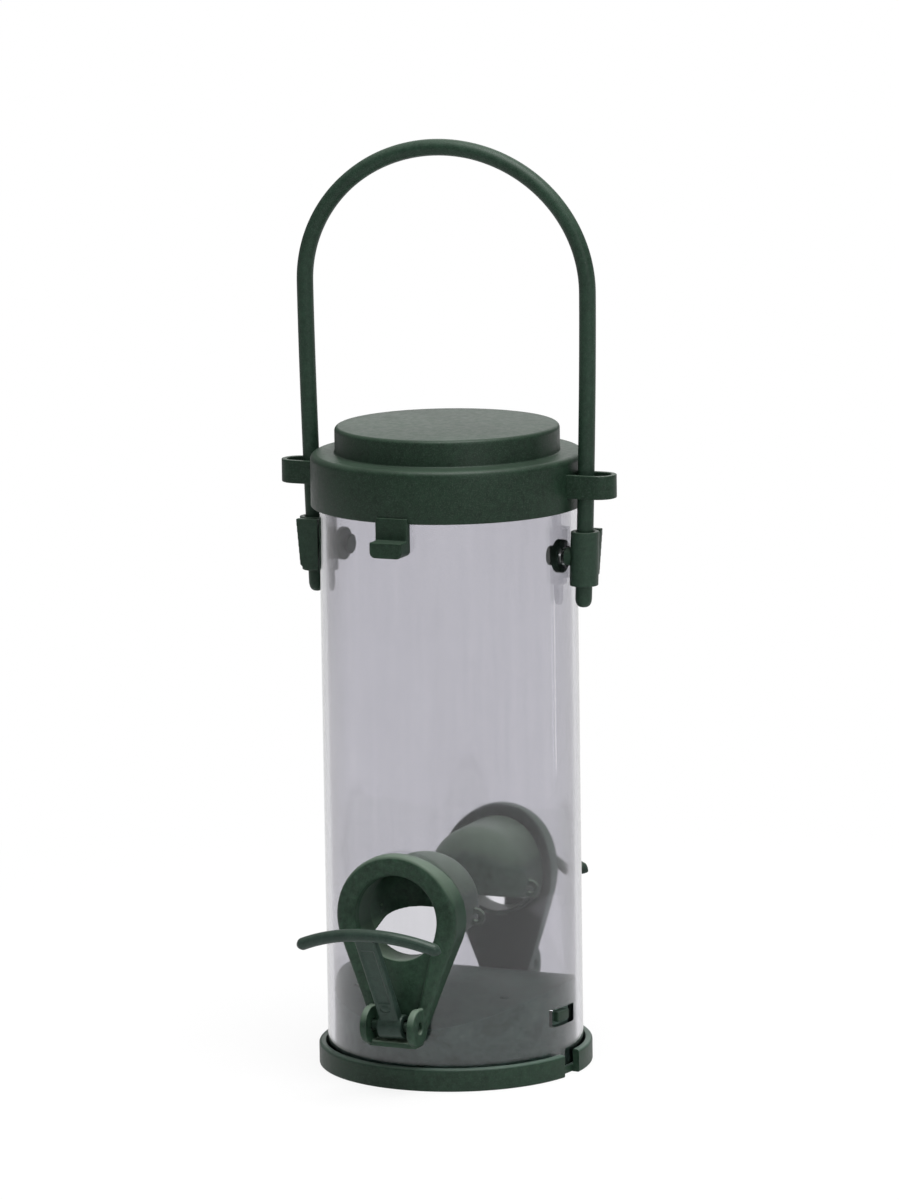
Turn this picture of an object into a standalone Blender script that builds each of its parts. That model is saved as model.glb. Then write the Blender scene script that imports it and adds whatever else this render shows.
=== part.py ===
"""Seed bird feeder: a clear tube between a green moulded base and lid, hung from a bail
handle, with two seed ports on opposite sides, each with a folding T perch.

Metres, +Z up. The origin is the centre of the base's underside, on the tube's axis.
The front port faces -Y, and the handle's legs stand at -X and +X.
"""
from math import acos, atan2, cos, hypot, pi, radians, sin, sqrt, tau

import bmesh
import bpy
from mathutils import Matrix, Vector

mm = 0.001

# Driving dimensions
FIT_GAP = 0.3 * mm
CUT_OVERRUN = 2.0 * mm
WELD_GAP = 0.0003 * mm

TUBE_RADIUS = 32.5 * mm
TUBE_WALL = 1.6 * mm
TUBE_TOP = 155.0 * mm

BASE_RING_GAP = 0.5 * mm
BASE_RING_WALL = 1.8 * mm
BASE_RING_HEIGHT = 5.8 * mm
BASE_WALL = 1.6 * mm
BASE_GROOVE_FLOOR = 1.8 * mm
BASE_EDGE_ROUND = 0.7 * mm
VAULT_CREST = 23.0 * mm
VAULT_FALL = 8.2 * mm
DRAIN_LENGTH = 2.2 * mm
DRAIN_WIDTH = 1.2 * mm
DRAIN_INSET_X = 10.6 * mm
DRAIN_INSET_Y = 15.6 * mm
SNAP_DROP = 7.8 * mm
SNAP_NUB_WIDTH = 5.2 * mm
SNAP_NUB_HEIGHT = 2.6 * mm
SNAP_NUB_SET_BACK = 0.2 * mm
SNAP_SIDE_PLAY = 2.5 * mm
SNAP_TOP_PLAY = 1.0 * mm
RING_NOTCH_WIDTH = 6.8 * mm
RIB_THICKNESS = 1.6 * mm
CENTRE_PAD_RADIUS = 5.0 * mm

LID_WALL = 1.6 * mm
LID_SKIRT_GAP = 0.4 * mm
LID_SKIRT_DEPTH = 13.3 * mm
LID_EDGE_ROUND = 1.6 * mm
CROWN_SET_IN = 6.2 * mm
CROWN_HEIGHT = 6.7 * mm
CROWN_EDGE_ROUND = 1.1 * mm
LOOP_PLAY = 1.0 * mm
LOOP_END_PLAY = 2.5 * mm
LOOP_STRAP = 1.4 * mm
LOOP_HEIGHT = 5.9 * mm
LOOP_RISE = 3.5 * mm
TAB_WIDTH = 8.6 * mm
TAB_THICKNESS = 2.1 * mm
TAB_DROP = 8.1 * mm
LIP_HEIGHT = 3.9 * mm
LIP_REACH = 3.7 * mm
LIP_CORNER = 1.4 * mm

HANDLE_BAR_RADIUS = 2.1 * mm
HANDLE_BELOW_CLIP = 5.6 * mm
HANDLE_LEG_SPREAD = 2.0 * mm
HANDLE_ABOVE_RIM = 41.5 * mm
ARCH_RISE = 34.9 * mm

CLIP_BELOW_SKIRT = 5.2 * mm
CLIP_HEIGHT = 13.7 * mm
CLIP_BARREL_WALL = 1.2 * mm
CLIP_STAND_OFF = 0.5 * mm
CLIP_FIN_GAP = 0.9 * mm
CLIP_FIN_THICKNESS = 1.5 * mm
CLIP_FIN_SET_BACK = 0.6 * mm
CLIP_FIN_SHORTER = 0.8 * mm
CLIP_FIN_TAPER = 1.1 * mm
CLIP_FIN_CHAMFER = 1.2 * mm
STUD_RISE = 7.1 * mm
STUD_NECK_RADIUS = 2.3 * mm
STUD_HEAD_RADIUS = 4.2 * mm
STUD_HEAD_THICKNESS = 1.6 * mm
STUD_CORE_RADIUS = 1.5 * mm
STUD_TIP_RADIUS = 2.5 * mm
STUD_TIP_THICKNESS = 0.9 * mm
STUD_TIP_LENGTH = 1.9 * mm

THROAT_RADIUS = 10.8 * mm
THROAT_STEP = 0.2 * mm
COLLAR_BAND = 5.3 * mm
COLLAR_DEPTH = 3.6 * mm
COLLAR_EDGE_ROUND = 1.2 * mm
COLLAR_ABOVE_RING = 5.2 * mm
COLLAR_FOOT_DROP = 33.0 * mm
COLLAR_FOOT_CORNER = 3.0 * mm
TRAY_FOOT_RISE = 3.5 * mm
TRAY_SET_IN = 1.7 * mm
TRAY_CORNER = 1.6 * mm
TRAY_FLOOR_THICKNESS = 1.8 * mm
SLEEVE_WALL = 1.2 * mm
SLEEVE_INSIDE = 3.9 * mm

HOOD_WALL = 1.2 * mm
HOOD_DEPTH = 22.9 * mm
HOOD_END_ROUND = 9.0 * mm
HOOD_MOUTH_DROP_DEEP = 2.5 * mm
HOOD_MOUTH_DROP_SHALLOW = 7.4 * mm
EYELET_SET_IN = 9.2 * mm
EYELET_THICKNESS = 1.4 * mm
EYELET_WIDER = 0.5 * mm
EYELET_DROP = 2.0 * mm
EYELET_RADIUS = 2.2 * mm
EYELET_HOLE_RADIUS = 0.95 * mm

HINGE_RISE = 6.2 * mm
HINGE_STAND_OFF = 0.5 * mm
LUG_RADIUS = 4.8 * mm
LUG_THICKNESS = 1.9 * mm
LUG_OVERHANG = 1.4 * mm
SILL_GAP = 0.8 * mm
SILL_THICKNESS = 1.5 * mm
SILL_DEPTH = 6.5 * mm
PIN_RADIUS = 1.2 * mm
PIN_RECESS = 0.8 * mm

PERCH_LENGTH = 29.4 * mm
PERCH_BAR_LENGTH = 39.6 * mm
PERCH_BAR_RADIUS = 1.6 * mm
PERCH_BAR_SAG = 3.8 * mm
STEM_WIDTH = 5.4 * mm
STEM_THICKNESS = 2.4 * mm
CHANNEL_WIDTH = 3.6 * mm
CHANNEL_DEPTH = 0.5 * mm
CHANNEL_MARGIN = 5.2 * mm
KNUCKLE_RADIUS = 3.0 * mm
KNUCKLE_HALF_WIDTH = 3.3 * mm
KNUCKLE_SIDE_PLAY = 2.2 * mm

SNAP_TURN = radians(8.5)
FRONT_PERCH_TILT = radians(27.7)
BACK_PERCH_TILT = radians(6.4)

# How finely round shapes are divided
ROUND_STEPS = 64
BORE_STEPS = 40
ROD_STEPS = 20
FILLET_STEPS = 3
DOME_STEPS = 6
ARC_STEP = radians(15.0)

# Sizes that follow from the driving dimensions
TUBE_BORE = TUBE_RADIUS - TUBE_WALL
TUBE_FOOT = BASE_GROOVE_FLOOR + FIT_GAP
CUP_RADIUS = TUBE_BORE - FIT_GAP
RING_BORE = TUBE_RADIUS + BASE_RING_GAP
BASE_RING_RADIUS = RING_BORE + BASE_RING_WALL
DRAIN_X = CUP_RADIUS - DRAIN_INSET_X
DRAIN_Y = CUP_RADIUS - DRAIN_INSET_Y
SNAP_HEIGHT = VAULT_CREST - SNAP_DROP
SNAP_SLOT_WIDTH = SNAP_NUB_WIDTH + 2 * SNAP_SIDE_PLAY
SNAP_SLOT_HEIGHT = SNAP_NUB_HEIGHT + 2 * SNAP_TOP_PLAY

RIM_TOP = TUBE_TOP + FIT_GAP + LID_WALL
LID_TOP = RIM_TOP + CROWN_HEIGHT
SKIRT_FOOT = RIM_TOP - LID_SKIRT_DEPTH
SKIRT_BORE = TUBE_RADIUS + LID_SKIRT_GAP
SKIRT_RADIUS = SKIRT_BORE + LID_WALL
CROWN_RADIUS = SKIRT_RADIUS - CROWN_SET_IN

CLIP_TOP = SKIRT_FOOT - CLIP_BELOW_SKIRT
CLIP_LOW = CLIP_TOP - CLIP_HEIGHT
CLIP_BARREL_RADIUS = HANDLE_BAR_RADIUS + FIT_GAP + CLIP_BARREL_WALL
STUD_HEIGHT = CLIP_LOW + STUD_RISE
HANDLE_TIP_HEIGHT = CLIP_LOW - HANDLE_BELOW_CLIP
HANDLE_TIP_X = TUBE_RADIUS + CLIP_STAND_OFF + CLIP_BARREL_RADIUS
SPRINGING_HEIGHT = RIM_TOP + HANDLE_ABOVE_RIM
ARCH_HALF_SPAN = HANDLE_TIP_X + HANDLE_LEG_SPREAD
CLIP_FIN_REACH = HANDLE_TIP_X + CLIP_BARREL_RADIUS - CLIP_FIN_SET_BACK
CLIP_FIN_FOOT_REACH = CLIP_FIN_REACH - CLIP_FIN_TAPER
LOOP_HALF_WIDTH = HANDLE_BAR_RADIUS + LOOP_PLAY + LOOP_STRAP
LOOP_EYE = ARCH_HALF_SPAN + LOOP_END_PLAY

COLLAR_BACK = TUBE_RADIUS + FIT_GAP
COLLAR_OPENING_RADIUS = THROAT_RADIUS + THROAT_STEP
COLLAR_RADIUS = COLLAR_OPENING_RADIUS + COLLAR_BAND
COLLAR_FOOT_HEIGHT = BASE_RING_HEIGHT + COLLAR_ABOVE_RING
PORT_HEIGHT = COLLAR_FOOT_HEIGHT + COLLAR_FOOT_DROP
LUG_INNER_X = KNUCKLE_HALF_WIDTH + KNUCKLE_SIDE_PLAY
LUG_OUTER_X = LUG_INNER_X + LUG_THICKNESS
COLLAR_FOOT_HALF_WIDTH = LUG_OUTER_X - LUG_OVERHANG
COLLAR_REAR = sqrt(COLLAR_BACK**2 - COLLAR_RADIUS**2) - CUT_OVERRUN
TRAY_FACE = COLLAR_BACK + TRAY_FLOOR_THICKNESS
TRAY_FOOT_HEIGHT = COLLAR_FOOT_HEIGHT + TRAY_FOOT_RISE
TRAY_HALF_WIDTH = COLLAR_FOOT_HALF_WIDTH - TRAY_SET_IN
SLEEVE_RADIUS = THROAT_RADIUS + SLEEVE_WALL
SLEEVE_END = TUBE_BORE - SLEEVE_INSIDE
PORT_HOLE_RADIUS = SLEEVE_RADIUS + FIT_GAP

HOOD_BORE = SLEEVE_RADIUS + FIT_GAP
HOOD_RADIUS = HOOD_BORE + HOOD_WALL
HOOD_OPEN_END = TUBE_BORE - FIT_GAP
HOOD_END = HOOD_OPEN_END - HOOD_DEPTH
HOOD_MOUTH_DEEP = PORT_HEIGHT - HOOD_MOUTH_DROP_DEEP
HOOD_MOUTH_SHALLOW = PORT_HEIGHT - HOOD_MOUTH_DROP_SHALLOW
EYELET_Y = HOOD_END + EYELET_SET_IN
EYELET_X = HOOD_RADIUS + EYELET_WIDER
EYELET_HEIGHT = PORT_HEIGHT - EYELET_DROP

HINGE_Y = COLLAR_BACK + LUG_RADIUS + HINGE_STAND_OFF
HINGE_HEIGHT = COLLAR_FOOT_HEIGHT + HINGE_RISE
SILL_TOP = HINGE_HEIGHT - KNUCKLE_RADIUS - SILL_GAP
SILL_REACH = COLLAR_BACK + SILL_DEPTH
PIN_HOLE_RADIUS = PIN_RADIUS + FIT_GAP

GREEN = (0.024, 0.048, 0.032, 1.0)
CLEAR = (0.88, 0.88, 0.92, 1.0)

for old in list(bpy.data.objects):
    bpy.data.objects.remove(old, do_unlink=True)

parts = bpy.data.collections.new("seed_bird_feeder")
cutters = bpy.data.collections.new("cutters")
bpy.context.scene.collection.children.link(parts)
bpy.context.scene.collection.children.link(cutters)


def material(name, colour, roughness, transmission=0.0):
    mat = bpy.data.materials.new(name)
    mat.use_nodes = True
    shader = mat.node_tree.nodes["Principled BSDF"]
    shader.inputs["Base Color"].default_value = colour
    shader.inputs["Roughness"].default_value = roughness
    shader.inputs["Metallic"].default_value = 0.0
    shader.inputs["Transmission Weight"].default_value = transmission
    return mat


def tool(name, mesh):
    """A helper solid for a Boolean, which is not a piece of the feeder."""
    obj = bpy.data.objects.new(name, mesh)
    obj.hide_render = True
    obj.display_type = "WIRE"
    cutters.objects.link(obj)
    return obj


def boolean(target, other, operation):
    step = target.modifiers.new(other.name, "BOOLEAN")
    step.object = other
    step.operation = operation
    step.solver = "EXACT"


def cut(target, *others):
    for other in others:
        boolean(target, other, "DIFFERENCE")


def join(target, *others):
    for other in others:
        boolean(target, other, "UNION")


def worked(obj):
    """The object's mesh with every modifier worked in, welded, in world places."""
    graph = bpy.context.evaluated_depsgraph_get()
    mesh = bpy.data.meshes.new_from_object(obj.evaluated_get(graph))
    mesh.transform(obj.matrix_world)
    shape = bmesh.new()
    shape.from_mesh(mesh)
    bmesh.ops.remove_doubles(shape, verts=shape.verts, dist=WELD_GAP)
    shape.to_mesh(mesh)
    shape.free()
    return mesh


def triangled(mesh):
    """Splits a mesh's faces into triangles, which are flat whatever the next cut does."""
    shape = bmesh.new()
    shape.from_mesh(mesh)
    bmesh.ops.triangulate(shape, faces=shape.faces)
    shape.to_mesh(mesh)
    shape.free()
    return mesh


def piece(name, mesh, mat, location=(0, 0, 0), rotation=(0, 0, 0)):
    """One named piece of the feeder, with its own material."""
    own = mesh.copy()
    own.name = name
    own.materials.clear()
    own.materials.append(mat)
    own.shade_smooth()
    own.set_sharp_from_angle(angle=radians(30))
    obj = bpy.data.objects.new(name, own)
    obj.location = location
    obj.rotation_euler = rotation
    parts.objects.link(obj)
    return obj


def turned(name, profile, steps, closed):
    """Revolves a profile of (radius, height) points, listed down its outer side.

    A closed profile goes on up its inner side, and an open one starts and ends on the axis.
    """
    mesh = bpy.data.meshes.new(name)
    points = [(r, 0, z) for r, z in profile]
    edges = [(i, i + 1) for i in range(len(points) - 1)]
    if closed:
        edges.append((len(points) - 1, 0))
    mesh.from_pydata(points, edges, [])
    obj = tool(name, mesh)
    screw = obj.modifiers.new("turn", "SCREW")
    screw.axis = "Z"
    screw.angle = tau
    screw.steps = steps
    screw.render_steps = steps
    screw.use_merge_vertices = True
    screw.merge_threshold = WELD_GAP
    return obj


def corner(centre, radius, start, end, steps=FILLET_STEPS):
    """Points of a rounded corner, from one angle to another."""
    turns = [start + (end - start) * i / steps for i in range(steps + 1)]
    return [(centre[0] + radius * cos(a), centre[1] + radius * sin(a)) for a in turns]


def slab(name, low, high):
    """A box between two corners."""
    shape = bmesh.new()
    bmesh.ops.create_cube(shape, size=1)
    size = Vector(high) - Vector(low)
    bmesh.ops.scale(shape, vec=size, verts=shape.verts)
    bmesh.ops.translate(shape, vec=Vector(low) + size / 2, verts=shape.verts)
    mesh = bpy.data.meshes.new(name)
    shape.to_mesh(mesh)
    shape.free()
    return tool(name, mesh)


def rod(name, start, end, radius, steps, end_radius=None):
    """A round bar, or a cone, from one point to another."""
    start, end = Vector(start), Vector(end)
    shape = bmesh.new()
    bmesh.ops.create_cone(
        shape,
        cap_ends=True,
        segments=steps,
        radius1=radius,
        radius2=radius if end_radius is None else end_radius,
        depth=(end - start).length,
    )
    aim = (end - start).to_track_quat("Z", "Y").to_matrix().to_4x4()
    shape.transform(Matrix.Translation((start + end) / 2) @ aim)
    mesh = bpy.data.meshes.new(name)
    shape.to_mesh(mesh)
    shape.free()
    return tool(name, mesh)


def wire(name, points, radius, sides_level, tip_width_shares=()):
    """A round bar along a path, its ends drawn in by the tips' shares, as a mesh."""
    data = bpy.data.curves.new(name, "CURVE")
    data.dimensions = "3D"
    data.bevel_depth = radius
    data.bevel_resolution = sides_level
    data.use_fill_caps = True
    line = data.splines.new("POLY")
    line.points.add(len(points) - 1)
    for point, place in zip(line.points, points):
        point.co = (*place, 1)
    for i, share in enumerate(tip_width_shares):
        line.points[i].radius = share
        line.points[-1 - i].radius = share
    obj = bpy.data.objects.new(name, data)
    cutters.objects.link(obj)
    mesh = worked(obj)
    bpy.data.objects.remove(obj)
    return tool(name, mesh)


def plate(name, outlines, thickness, edge_round=0.0):
    """A flat plate in X and Y, centred on Z, from an outline and any holes in it."""
    data = bpy.data.curves.new(name, "CURVE")
    data.dimensions = "2D"
    data.fill_mode = "BOTH"
    data.extrude = thickness / 2 - edge_round
    data.bevel_depth = edge_round
    data.bevel_resolution = 1
    for outline in outlines:
        line = data.splines.new("POLY")
        line.points.add(len(outline) - 1)
        line.use_cyclic_u = True
        for point, place in zip(line.points, outline):
            point.co = (*place, 0, 1)
    obj = bpy.data.objects.new(name, data)
    cutters.objects.link(obj)
    mesh = worked(obj)
    bpy.data.objects.remove(obj)
    return tool(name, mesh)


def stand(obj, rows):
    """Turns a flat plate's own X, Y and Z onto the axes and place that rows name."""
    obj.data.transform(Matrix(rows))
    return obj


def band_round(circles, arc_step=ARC_STEP):
    """The outline drawn tightly round circles (x, y, radius), listed anticlockwise."""
    normals = []
    for i, (x, y, r) in enumerate(circles):
        next_x, next_y, next_r = circles[(i + 1) % len(circles)]
        reach = hypot(next_x - x, next_y - y)
        heading = atan2(next_y - y, next_x - x)
        normals.append(heading - acos((r - next_r) / reach))
    points = []
    for i, (x, y, r) in enumerate(circles):
        start = normals[i - 1]
        sweep = (normals[i] - start) % tau
        count = max(1, round(sweep / arc_step))
        for j in range(count + 1):
            a = start + sweep * j / count
            points.append((x + r * cos(a), y + r * sin(a)))
    return points


def vault_height(y, drop):
    """The cup floor's height less a drop: highest along X, falling to both ports."""
    return VAULT_CREST - VAULT_FALL * (y / CUP_RADIUS) ** 2 - drop


def above_vault(name, drop):
    """A cutter that takes away everything above the floor, or above its underside."""
    reach = CUP_RADIUS + CUT_OVERRUN
    count = 20
    ys = [-reach + 2 * reach * i / count for i in range(count + 1)]
    outline = [(y, vault_height(y, drop)) for y in ys]
    outline += [(reach, VAULT_CREST + CUT_OVERRUN), (-reach, VAULT_CREST + CUT_OVERRUN)]
    block = plate(name, [outline], 2 * reach)
    return stand(block, [(0, 0, 1, 0), (1, 0, 0, 0), (0, 1, 0, 0), (0, 0, 0, 1)])


def at_snap(obj):
    """Turns a solid made along X to where the base snaps into the tube, right of each port."""
    obj.data.transform(Matrix.Rotation(-SNAP_TURN, 4, "Z"))
    return obj


def make_base():
    """The base: ring and groove that hold the tube, the cup and its vaulted floor."""
    r = BASE_EDGE_ROUND
    top = VAULT_CREST + CUT_OVERRUN / 2
    profile = [(0, top), (CUP_RADIUS, top), (CUP_RADIUS, BASE_GROOVE_FLOOR)]
    profile += [(RING_BORE, BASE_GROOVE_FLOOR), (RING_BORE, BASE_RING_HEIGHT)]
    profile += corner((BASE_RING_RADIUS - r, BASE_RING_HEIGHT - r), r, pi / 2, 0)
    profile += [(BASE_RING_RADIUS, 0), (0, 0)]
    body = turned("base_body", profile, ROUND_STEPS, closed=False)

    foot = sqrt(RING_BORE**2 - (RING_NOTCH_WIDTH / 2) ** 2) - FIT_GAP
    edge = BASE_RING_RADIUS + CUT_OVERRUN
    half = RING_NOTCH_WIDTH / 2
    outlines = []
    for x0, x1 in ((-edge, -foot), (foot, edge)):
        outlines.append([(x0, -half), (x1, -half), (x1, half), (x0, half)])
    depth = BASE_RING_HEIGHT + 2 * CUT_OVERRUN
    notches = plate("ring_notches", outlines, depth)
    middle = BASE_RING_HEIGHT / 2
    stand(notches, [(1, 0, 0, 0), (0, 1, 0, 0), (0, 0, 1, middle), (0, 0, 0, 1)])
    cut(body, at_snap(notches))

    hollow = rod(
        "cup_hollow",
        (0, 0, -CUT_OVERRUN),
        (0, 0, VAULT_CREST),
        CUP_RADIUS - BASE_WALL,
        ROUND_STEPS,
    )
    cut(hollow, above_vault("vault_underside", BASE_WALL))
    half = RIB_THICKNESS / 2
    long = BASE_RING_RADIUS
    deep = 2 * CUT_OVERRUN
    cut(hollow, slab("rib_across", (-long, -half, -deep), (long, half, VAULT_CREST)))
    cut(hollow, slab("rib_along", (-half, -long, -deep), (half, long, VAULT_CREST)))
    pad = rod("pad", (0, 0, -deep), (0, 0, VAULT_CREST), CENTRE_PAD_RADIUS, ROD_STEPS)
    cut(hollow, pad)
    cut(body, above_vault("vault_top", 0))
    body = tool("vaulted_body", triangled(worked(body)))
    cut(body, tool("ribbed_hollow", triangled(worked(hollow))))

    half_x, half_y = DRAIN_LENGTH / 2, DRAIN_WIDTH / 2
    outlines = []
    for x in (-DRAIN_X, DRAIN_X):
        for y in (-DRAIN_Y, DRAIN_Y):
            outlines.append([
                (x - half_x, y - half_y),
                (x + half_x, y - half_y),
                (x + half_x, y + half_y),
                (x - half_x, y + half_y),
            ])
    drains = plate("drains", outlines, VAULT_CREST - SNAP_HEIGHT)
    middle = (VAULT_CREST + SNAP_HEIGHT) / 2
    cut(body, stand(drains, [(1, 0, 0, 0), (0, 1, 0, 0), (0, 0, 1, middle), (0, 0, 0, 1)]))

    low, high = SNAP_HEIGHT - SNAP_NUB_HEIGHT / 2, SNAP_HEIGHT + SNAP_NUB_HEIGHT / 2
    half = SNAP_NUB_WIDTH / 2
    root, face = CUP_RADIUS - BASE_WALL / 2, TUBE_RADIUS - SNAP_NUB_SET_BACK
    join(body, at_snap(slab("left_nub", (-face, -half, low), (-root, half, high))),
         at_snap(slab("right_nub", (root, -half, low), (face, half, high))))
    return worked(body)


def make_tube():
    """The clear tube, with its holes for the ports, the clips' studs and the base's nubs."""
    profile = [
        (TUBE_RADIUS, TUBE_TOP),
        (TUBE_RADIUS, TUBE_FOOT),
        (TUBE_BORE, TUBE_FOOT),
        (TUBE_BORE, TUBE_TOP),
    ]
    body = turned("tube_body", profile, ROUND_STEPS, closed=True)
    reach = TUBE_RADIUS + CUT_OVERRUN
    cut(body, rod("port_holes", (0, -reach, PORT_HEIGHT), (0, reach, PORT_HEIGHT),
                  PORT_HOLE_RADIUS, BORE_STEPS))
    cut(body, rod("stud_holes", (-reach, 0, STUD_HEIGHT), (reach, 0, STUD_HEIGHT),
                  STUD_NECK_RADIUS + FIT_GAP, ROD_STEPS))
    slots = slab("snap_slots",
                 (-reach, -SNAP_SLOT_WIDTH / 2, SNAP_HEIGHT - SNAP_SLOT_HEIGHT / 2),
                 (reach, SNAP_SLOT_WIDTH / 2, SNAP_HEIGHT + SNAP_SLOT_HEIGHT / 2))
    cut(body, at_snap(slots))
    return worked(body)


def make_lid():
    """The lid: a turned cap with a raised crown, a loop round each leg and a thumb tab."""
    c = CROWN_EDGE_ROUND
    r = LID_EDGE_ROUND
    profile = [(0, LID_TOP)]
    profile += corner((CROWN_RADIUS - c, LID_TOP - c), c, pi / 2, 0)
    profile += [(CROWN_RADIUS, RIM_TOP)]
    profile += corner((SKIRT_RADIUS - r, RIM_TOP - r), r, pi / 2, 0)
    profile += [(SKIRT_RADIUS, SKIRT_FOOT), (SKIRT_BORE, SKIRT_FOOT)]
    profile += [(SKIRT_BORE, RIM_TOP - LID_WALL)]
    profile += [(CROWN_RADIUS - LID_WALL, RIM_TOP - LID_WALL)]
    profile += [(CROWN_RADIUS - LID_WALL, LID_TOP - LID_WALL), (0, LID_TOP - LID_WALL)]
    body = turned("lid_body", profile, ROUND_STEPS, closed=False)

    loop_low = SKIRT_FOOT + LOOP_RISE
    outer = LOOP_HALF_WIDTH
    inner = LOOP_HALF_WIDTH - LOOP_STRAP
    heel = (SKIRT_BORE + SKIRT_RADIUS) / 2
    eye = LOOP_EYE
    rim = [(heel, -outer)]
    rim += band_round([(eye, 0, outer), (heel - outer, 0, outer)])[: round(pi / ARC_STEP) + 1]
    rim += [(heel, outer)]
    slot = [(SKIRT_RADIUS + FIT_GAP, -inner)]
    slot += band_round([(eye, 0, inner), (heel - inner, 0, inner)])[: round(pi / ARC_STEP) + 1]
    slot += [(SKIRT_RADIUS + FIT_GAP, inner)]
    for near in (-1, 1):
        loop = plate(f"loop_{near}", [rim, slot[::-1]], LOOP_HEIGHT)
        lift = loop_low + LOOP_HEIGHT / 2
        stand(loop, [(near, 0, 0, 0), (0, near, 0, 0), (0, 0, 1, lift), (0, 0, 0, 1)])
        join(body, loop)

    half = TAB_WIDTH / 2
    tab_foot = SKIRT_FOOT - TAB_DROP
    tab_face = SKIRT_BORE + TAB_THICKNESS
    join(body, slab("tab", (-half, -tab_face, tab_foot + LIP_HEIGHT / 2),
                    (half, -SKIRT_BORE, SKIRT_FOOT + LID_WALL)))
    lip = plate("lip", [[
        *corner((half - LIP_CORNER, LIP_CORNER), LIP_CORNER, -pi / 2, 0),
        (half, LIP_HEIGHT),
        (-half, LIP_HEIGHT),
        *corner((LIP_CORNER - half, LIP_CORNER), LIP_CORNER, -pi, -pi / 2),
    ]], TAB_THICKNESS + LIP_REACH)
    middle = -SKIRT_BORE - (TAB_THICKNESS + LIP_REACH) / 2
    stand(lip, [(1, 0, 0, 0), (0, 0, -1, middle), (0, 1, 0, tab_foot), (0, 0, 0, 1)])
    join(body, lip)
    return worked(body)


def leg_x(z):
    """How far out the leg's centre is: the legs spread as they rise to the arch."""
    climb = (z - HANDLE_TIP_HEIGHT) / (SPRINGING_HEIGHT - HANDLE_TIP_HEIGHT)
    left_to_spread = (1 - climb) * sqrt(1 - climb)
    return ARCH_HALF_SPAN - (ARCH_HALF_SPAN - HANDLE_TIP_X) * left_to_spread


def make_handle():
    """The bail handle: two legs joined by a half-elliptical arch, with rounded tips."""
    tip_rise_shares = (0.0, 0.15, 0.5, 1.0)
    tip_width_shares = (0.35, 0.6, 0.9, 1.0)
    heights = [HANDLE_TIP_HEIGHT + share * HANDLE_BAR_RADIUS for share in tip_rise_shares]
    leg_count = 8
    rise = SPRINGING_HEIGHT - heights[-1]
    heights += [heights[-1] + rise * (i + 1) / leg_count for i in range(leg_count)]
    leg = [(leg_x(z), 0, z) for z in heights]
    arch_count = 28
    arch = []
    for i in range(1, arch_count):
        a = pi * i / arch_count
        arch.append((ARCH_HALF_SPAN * cos(a), 0, SPRINGING_HEIGHT + ARCH_RISE * sin(a)))
    other_leg = [(-x, y, z) for x, y, z in reversed(leg)]
    return worked(wire("handle_bar", leg + arch + other_leg, HANDLE_BAR_RADIUS, 2, tip_width_shares))


def make_clip():
    """A handle clip for the +X side: leg barrel, fin, and the stud that snaps into the tube."""
    foot_x, head_x = leg_x(CLIP_LOW), leg_x(CLIP_TOP)
    barrel = rod("barrel", (0, 0, CLIP_LOW), (0, 0, CLIP_TOP), CLIP_BARREL_RADIUS, ROD_STEPS)
    for vertex in barrel.data.vertices:
        vertex.co.x += foot_x if vertex.co.z < STUD_HEIGHT else head_x

    fin_y = CLIP_BARREL_RADIUS + CLIP_FIN_GAP
    fin_low, fin_high = CLIP_LOW + CLIP_FIN_SHORTER, CLIP_TOP
    web_x = TUBE_RADIUS + FIT_GAP + CLIP_FIN_THICKNESS / 2
    fin = plate("fin", [[
        (web_x, fin_low),
        (CLIP_FIN_FOOT_REACH - CLIP_FIN_CHAMFER, fin_low),
        (CLIP_FIN_FOOT_REACH, fin_low + CLIP_FIN_CHAMFER),
        (CLIP_FIN_REACH, fin_high),
        (web_x, fin_high),
    ]], CLIP_FIN_THICKNESS)
    middle = fin_y + CLIP_FIN_THICKNESS / 2
    stand(fin, [(1, 0, 0, 0), (0, 0, -1, middle), (0, 1, 0, 0), (0, 0, 0, 1)])
    web = slab("web", (web_x, 0, fin_low + FIT_GAP),
               (web_x + CLIP_FIN_THICKNESS, fin_y + CLIP_FIN_THICKNESS / 2, fin_high - FIT_GAP))
    join(barrel, web, fin)

    head_face = TUBE_BORE - FIT_GAP
    tip_face = head_face - STUD_HEAD_THICKNESS
    neck = rod("neck", (head_face - FIT_GAP, 0, STUD_HEIGHT), (foot_x, 0, STUD_HEIGHT),
               STUD_NECK_RADIUS, ROD_STEPS)
    head = rod("head", (tip_face, 0, STUD_HEIGHT), (head_face, 0, STUD_HEIGHT),
               STUD_HEAD_RADIUS, ROD_STEPS)
    end_face = tip_face - STUD_TIP_LENGTH
    core = rod("core", (end_face + FIT_GAP, 0, STUD_HEIGHT), (tip_face + FIT_GAP, 0, STUD_HEIGHT),
               STUD_CORE_RADIUS, ROD_STEPS)
    tip = rod("tip", (end_face, 0, STUD_HEIGHT), (end_face + STUD_TIP_THICKNESS, 0, STUD_HEIGHT),
              STUD_TIP_RADIUS, ROD_STEPS)
    join(barrel, neck, head, core, tip)

    low, high = CLIP_LOW - CUT_OVERRUN, CLIP_TOP + CUT_OVERRUN
    count = 6
    heights = [low + (high - low) * i / count for i in range(count + 1)]
    bore = wire("leg_bore", [(leg_x(z), 0, z) for z in heights],
                HANDLE_BAR_RADIUS + FIT_GAP, 2)
    cut(barrel, bore)
    return worked(barrel)


def facing_front(obj, back, depth):
    """Stands a flat plate upright, facing -Y, from its back's distance to its front's."""
    middle = -back - depth / 2
    return stand(obj, [(1, 0, 0, 0), (0, 0, -1, middle), (0, 1, 0, 0), (0, 0, 0, 1)])


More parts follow.
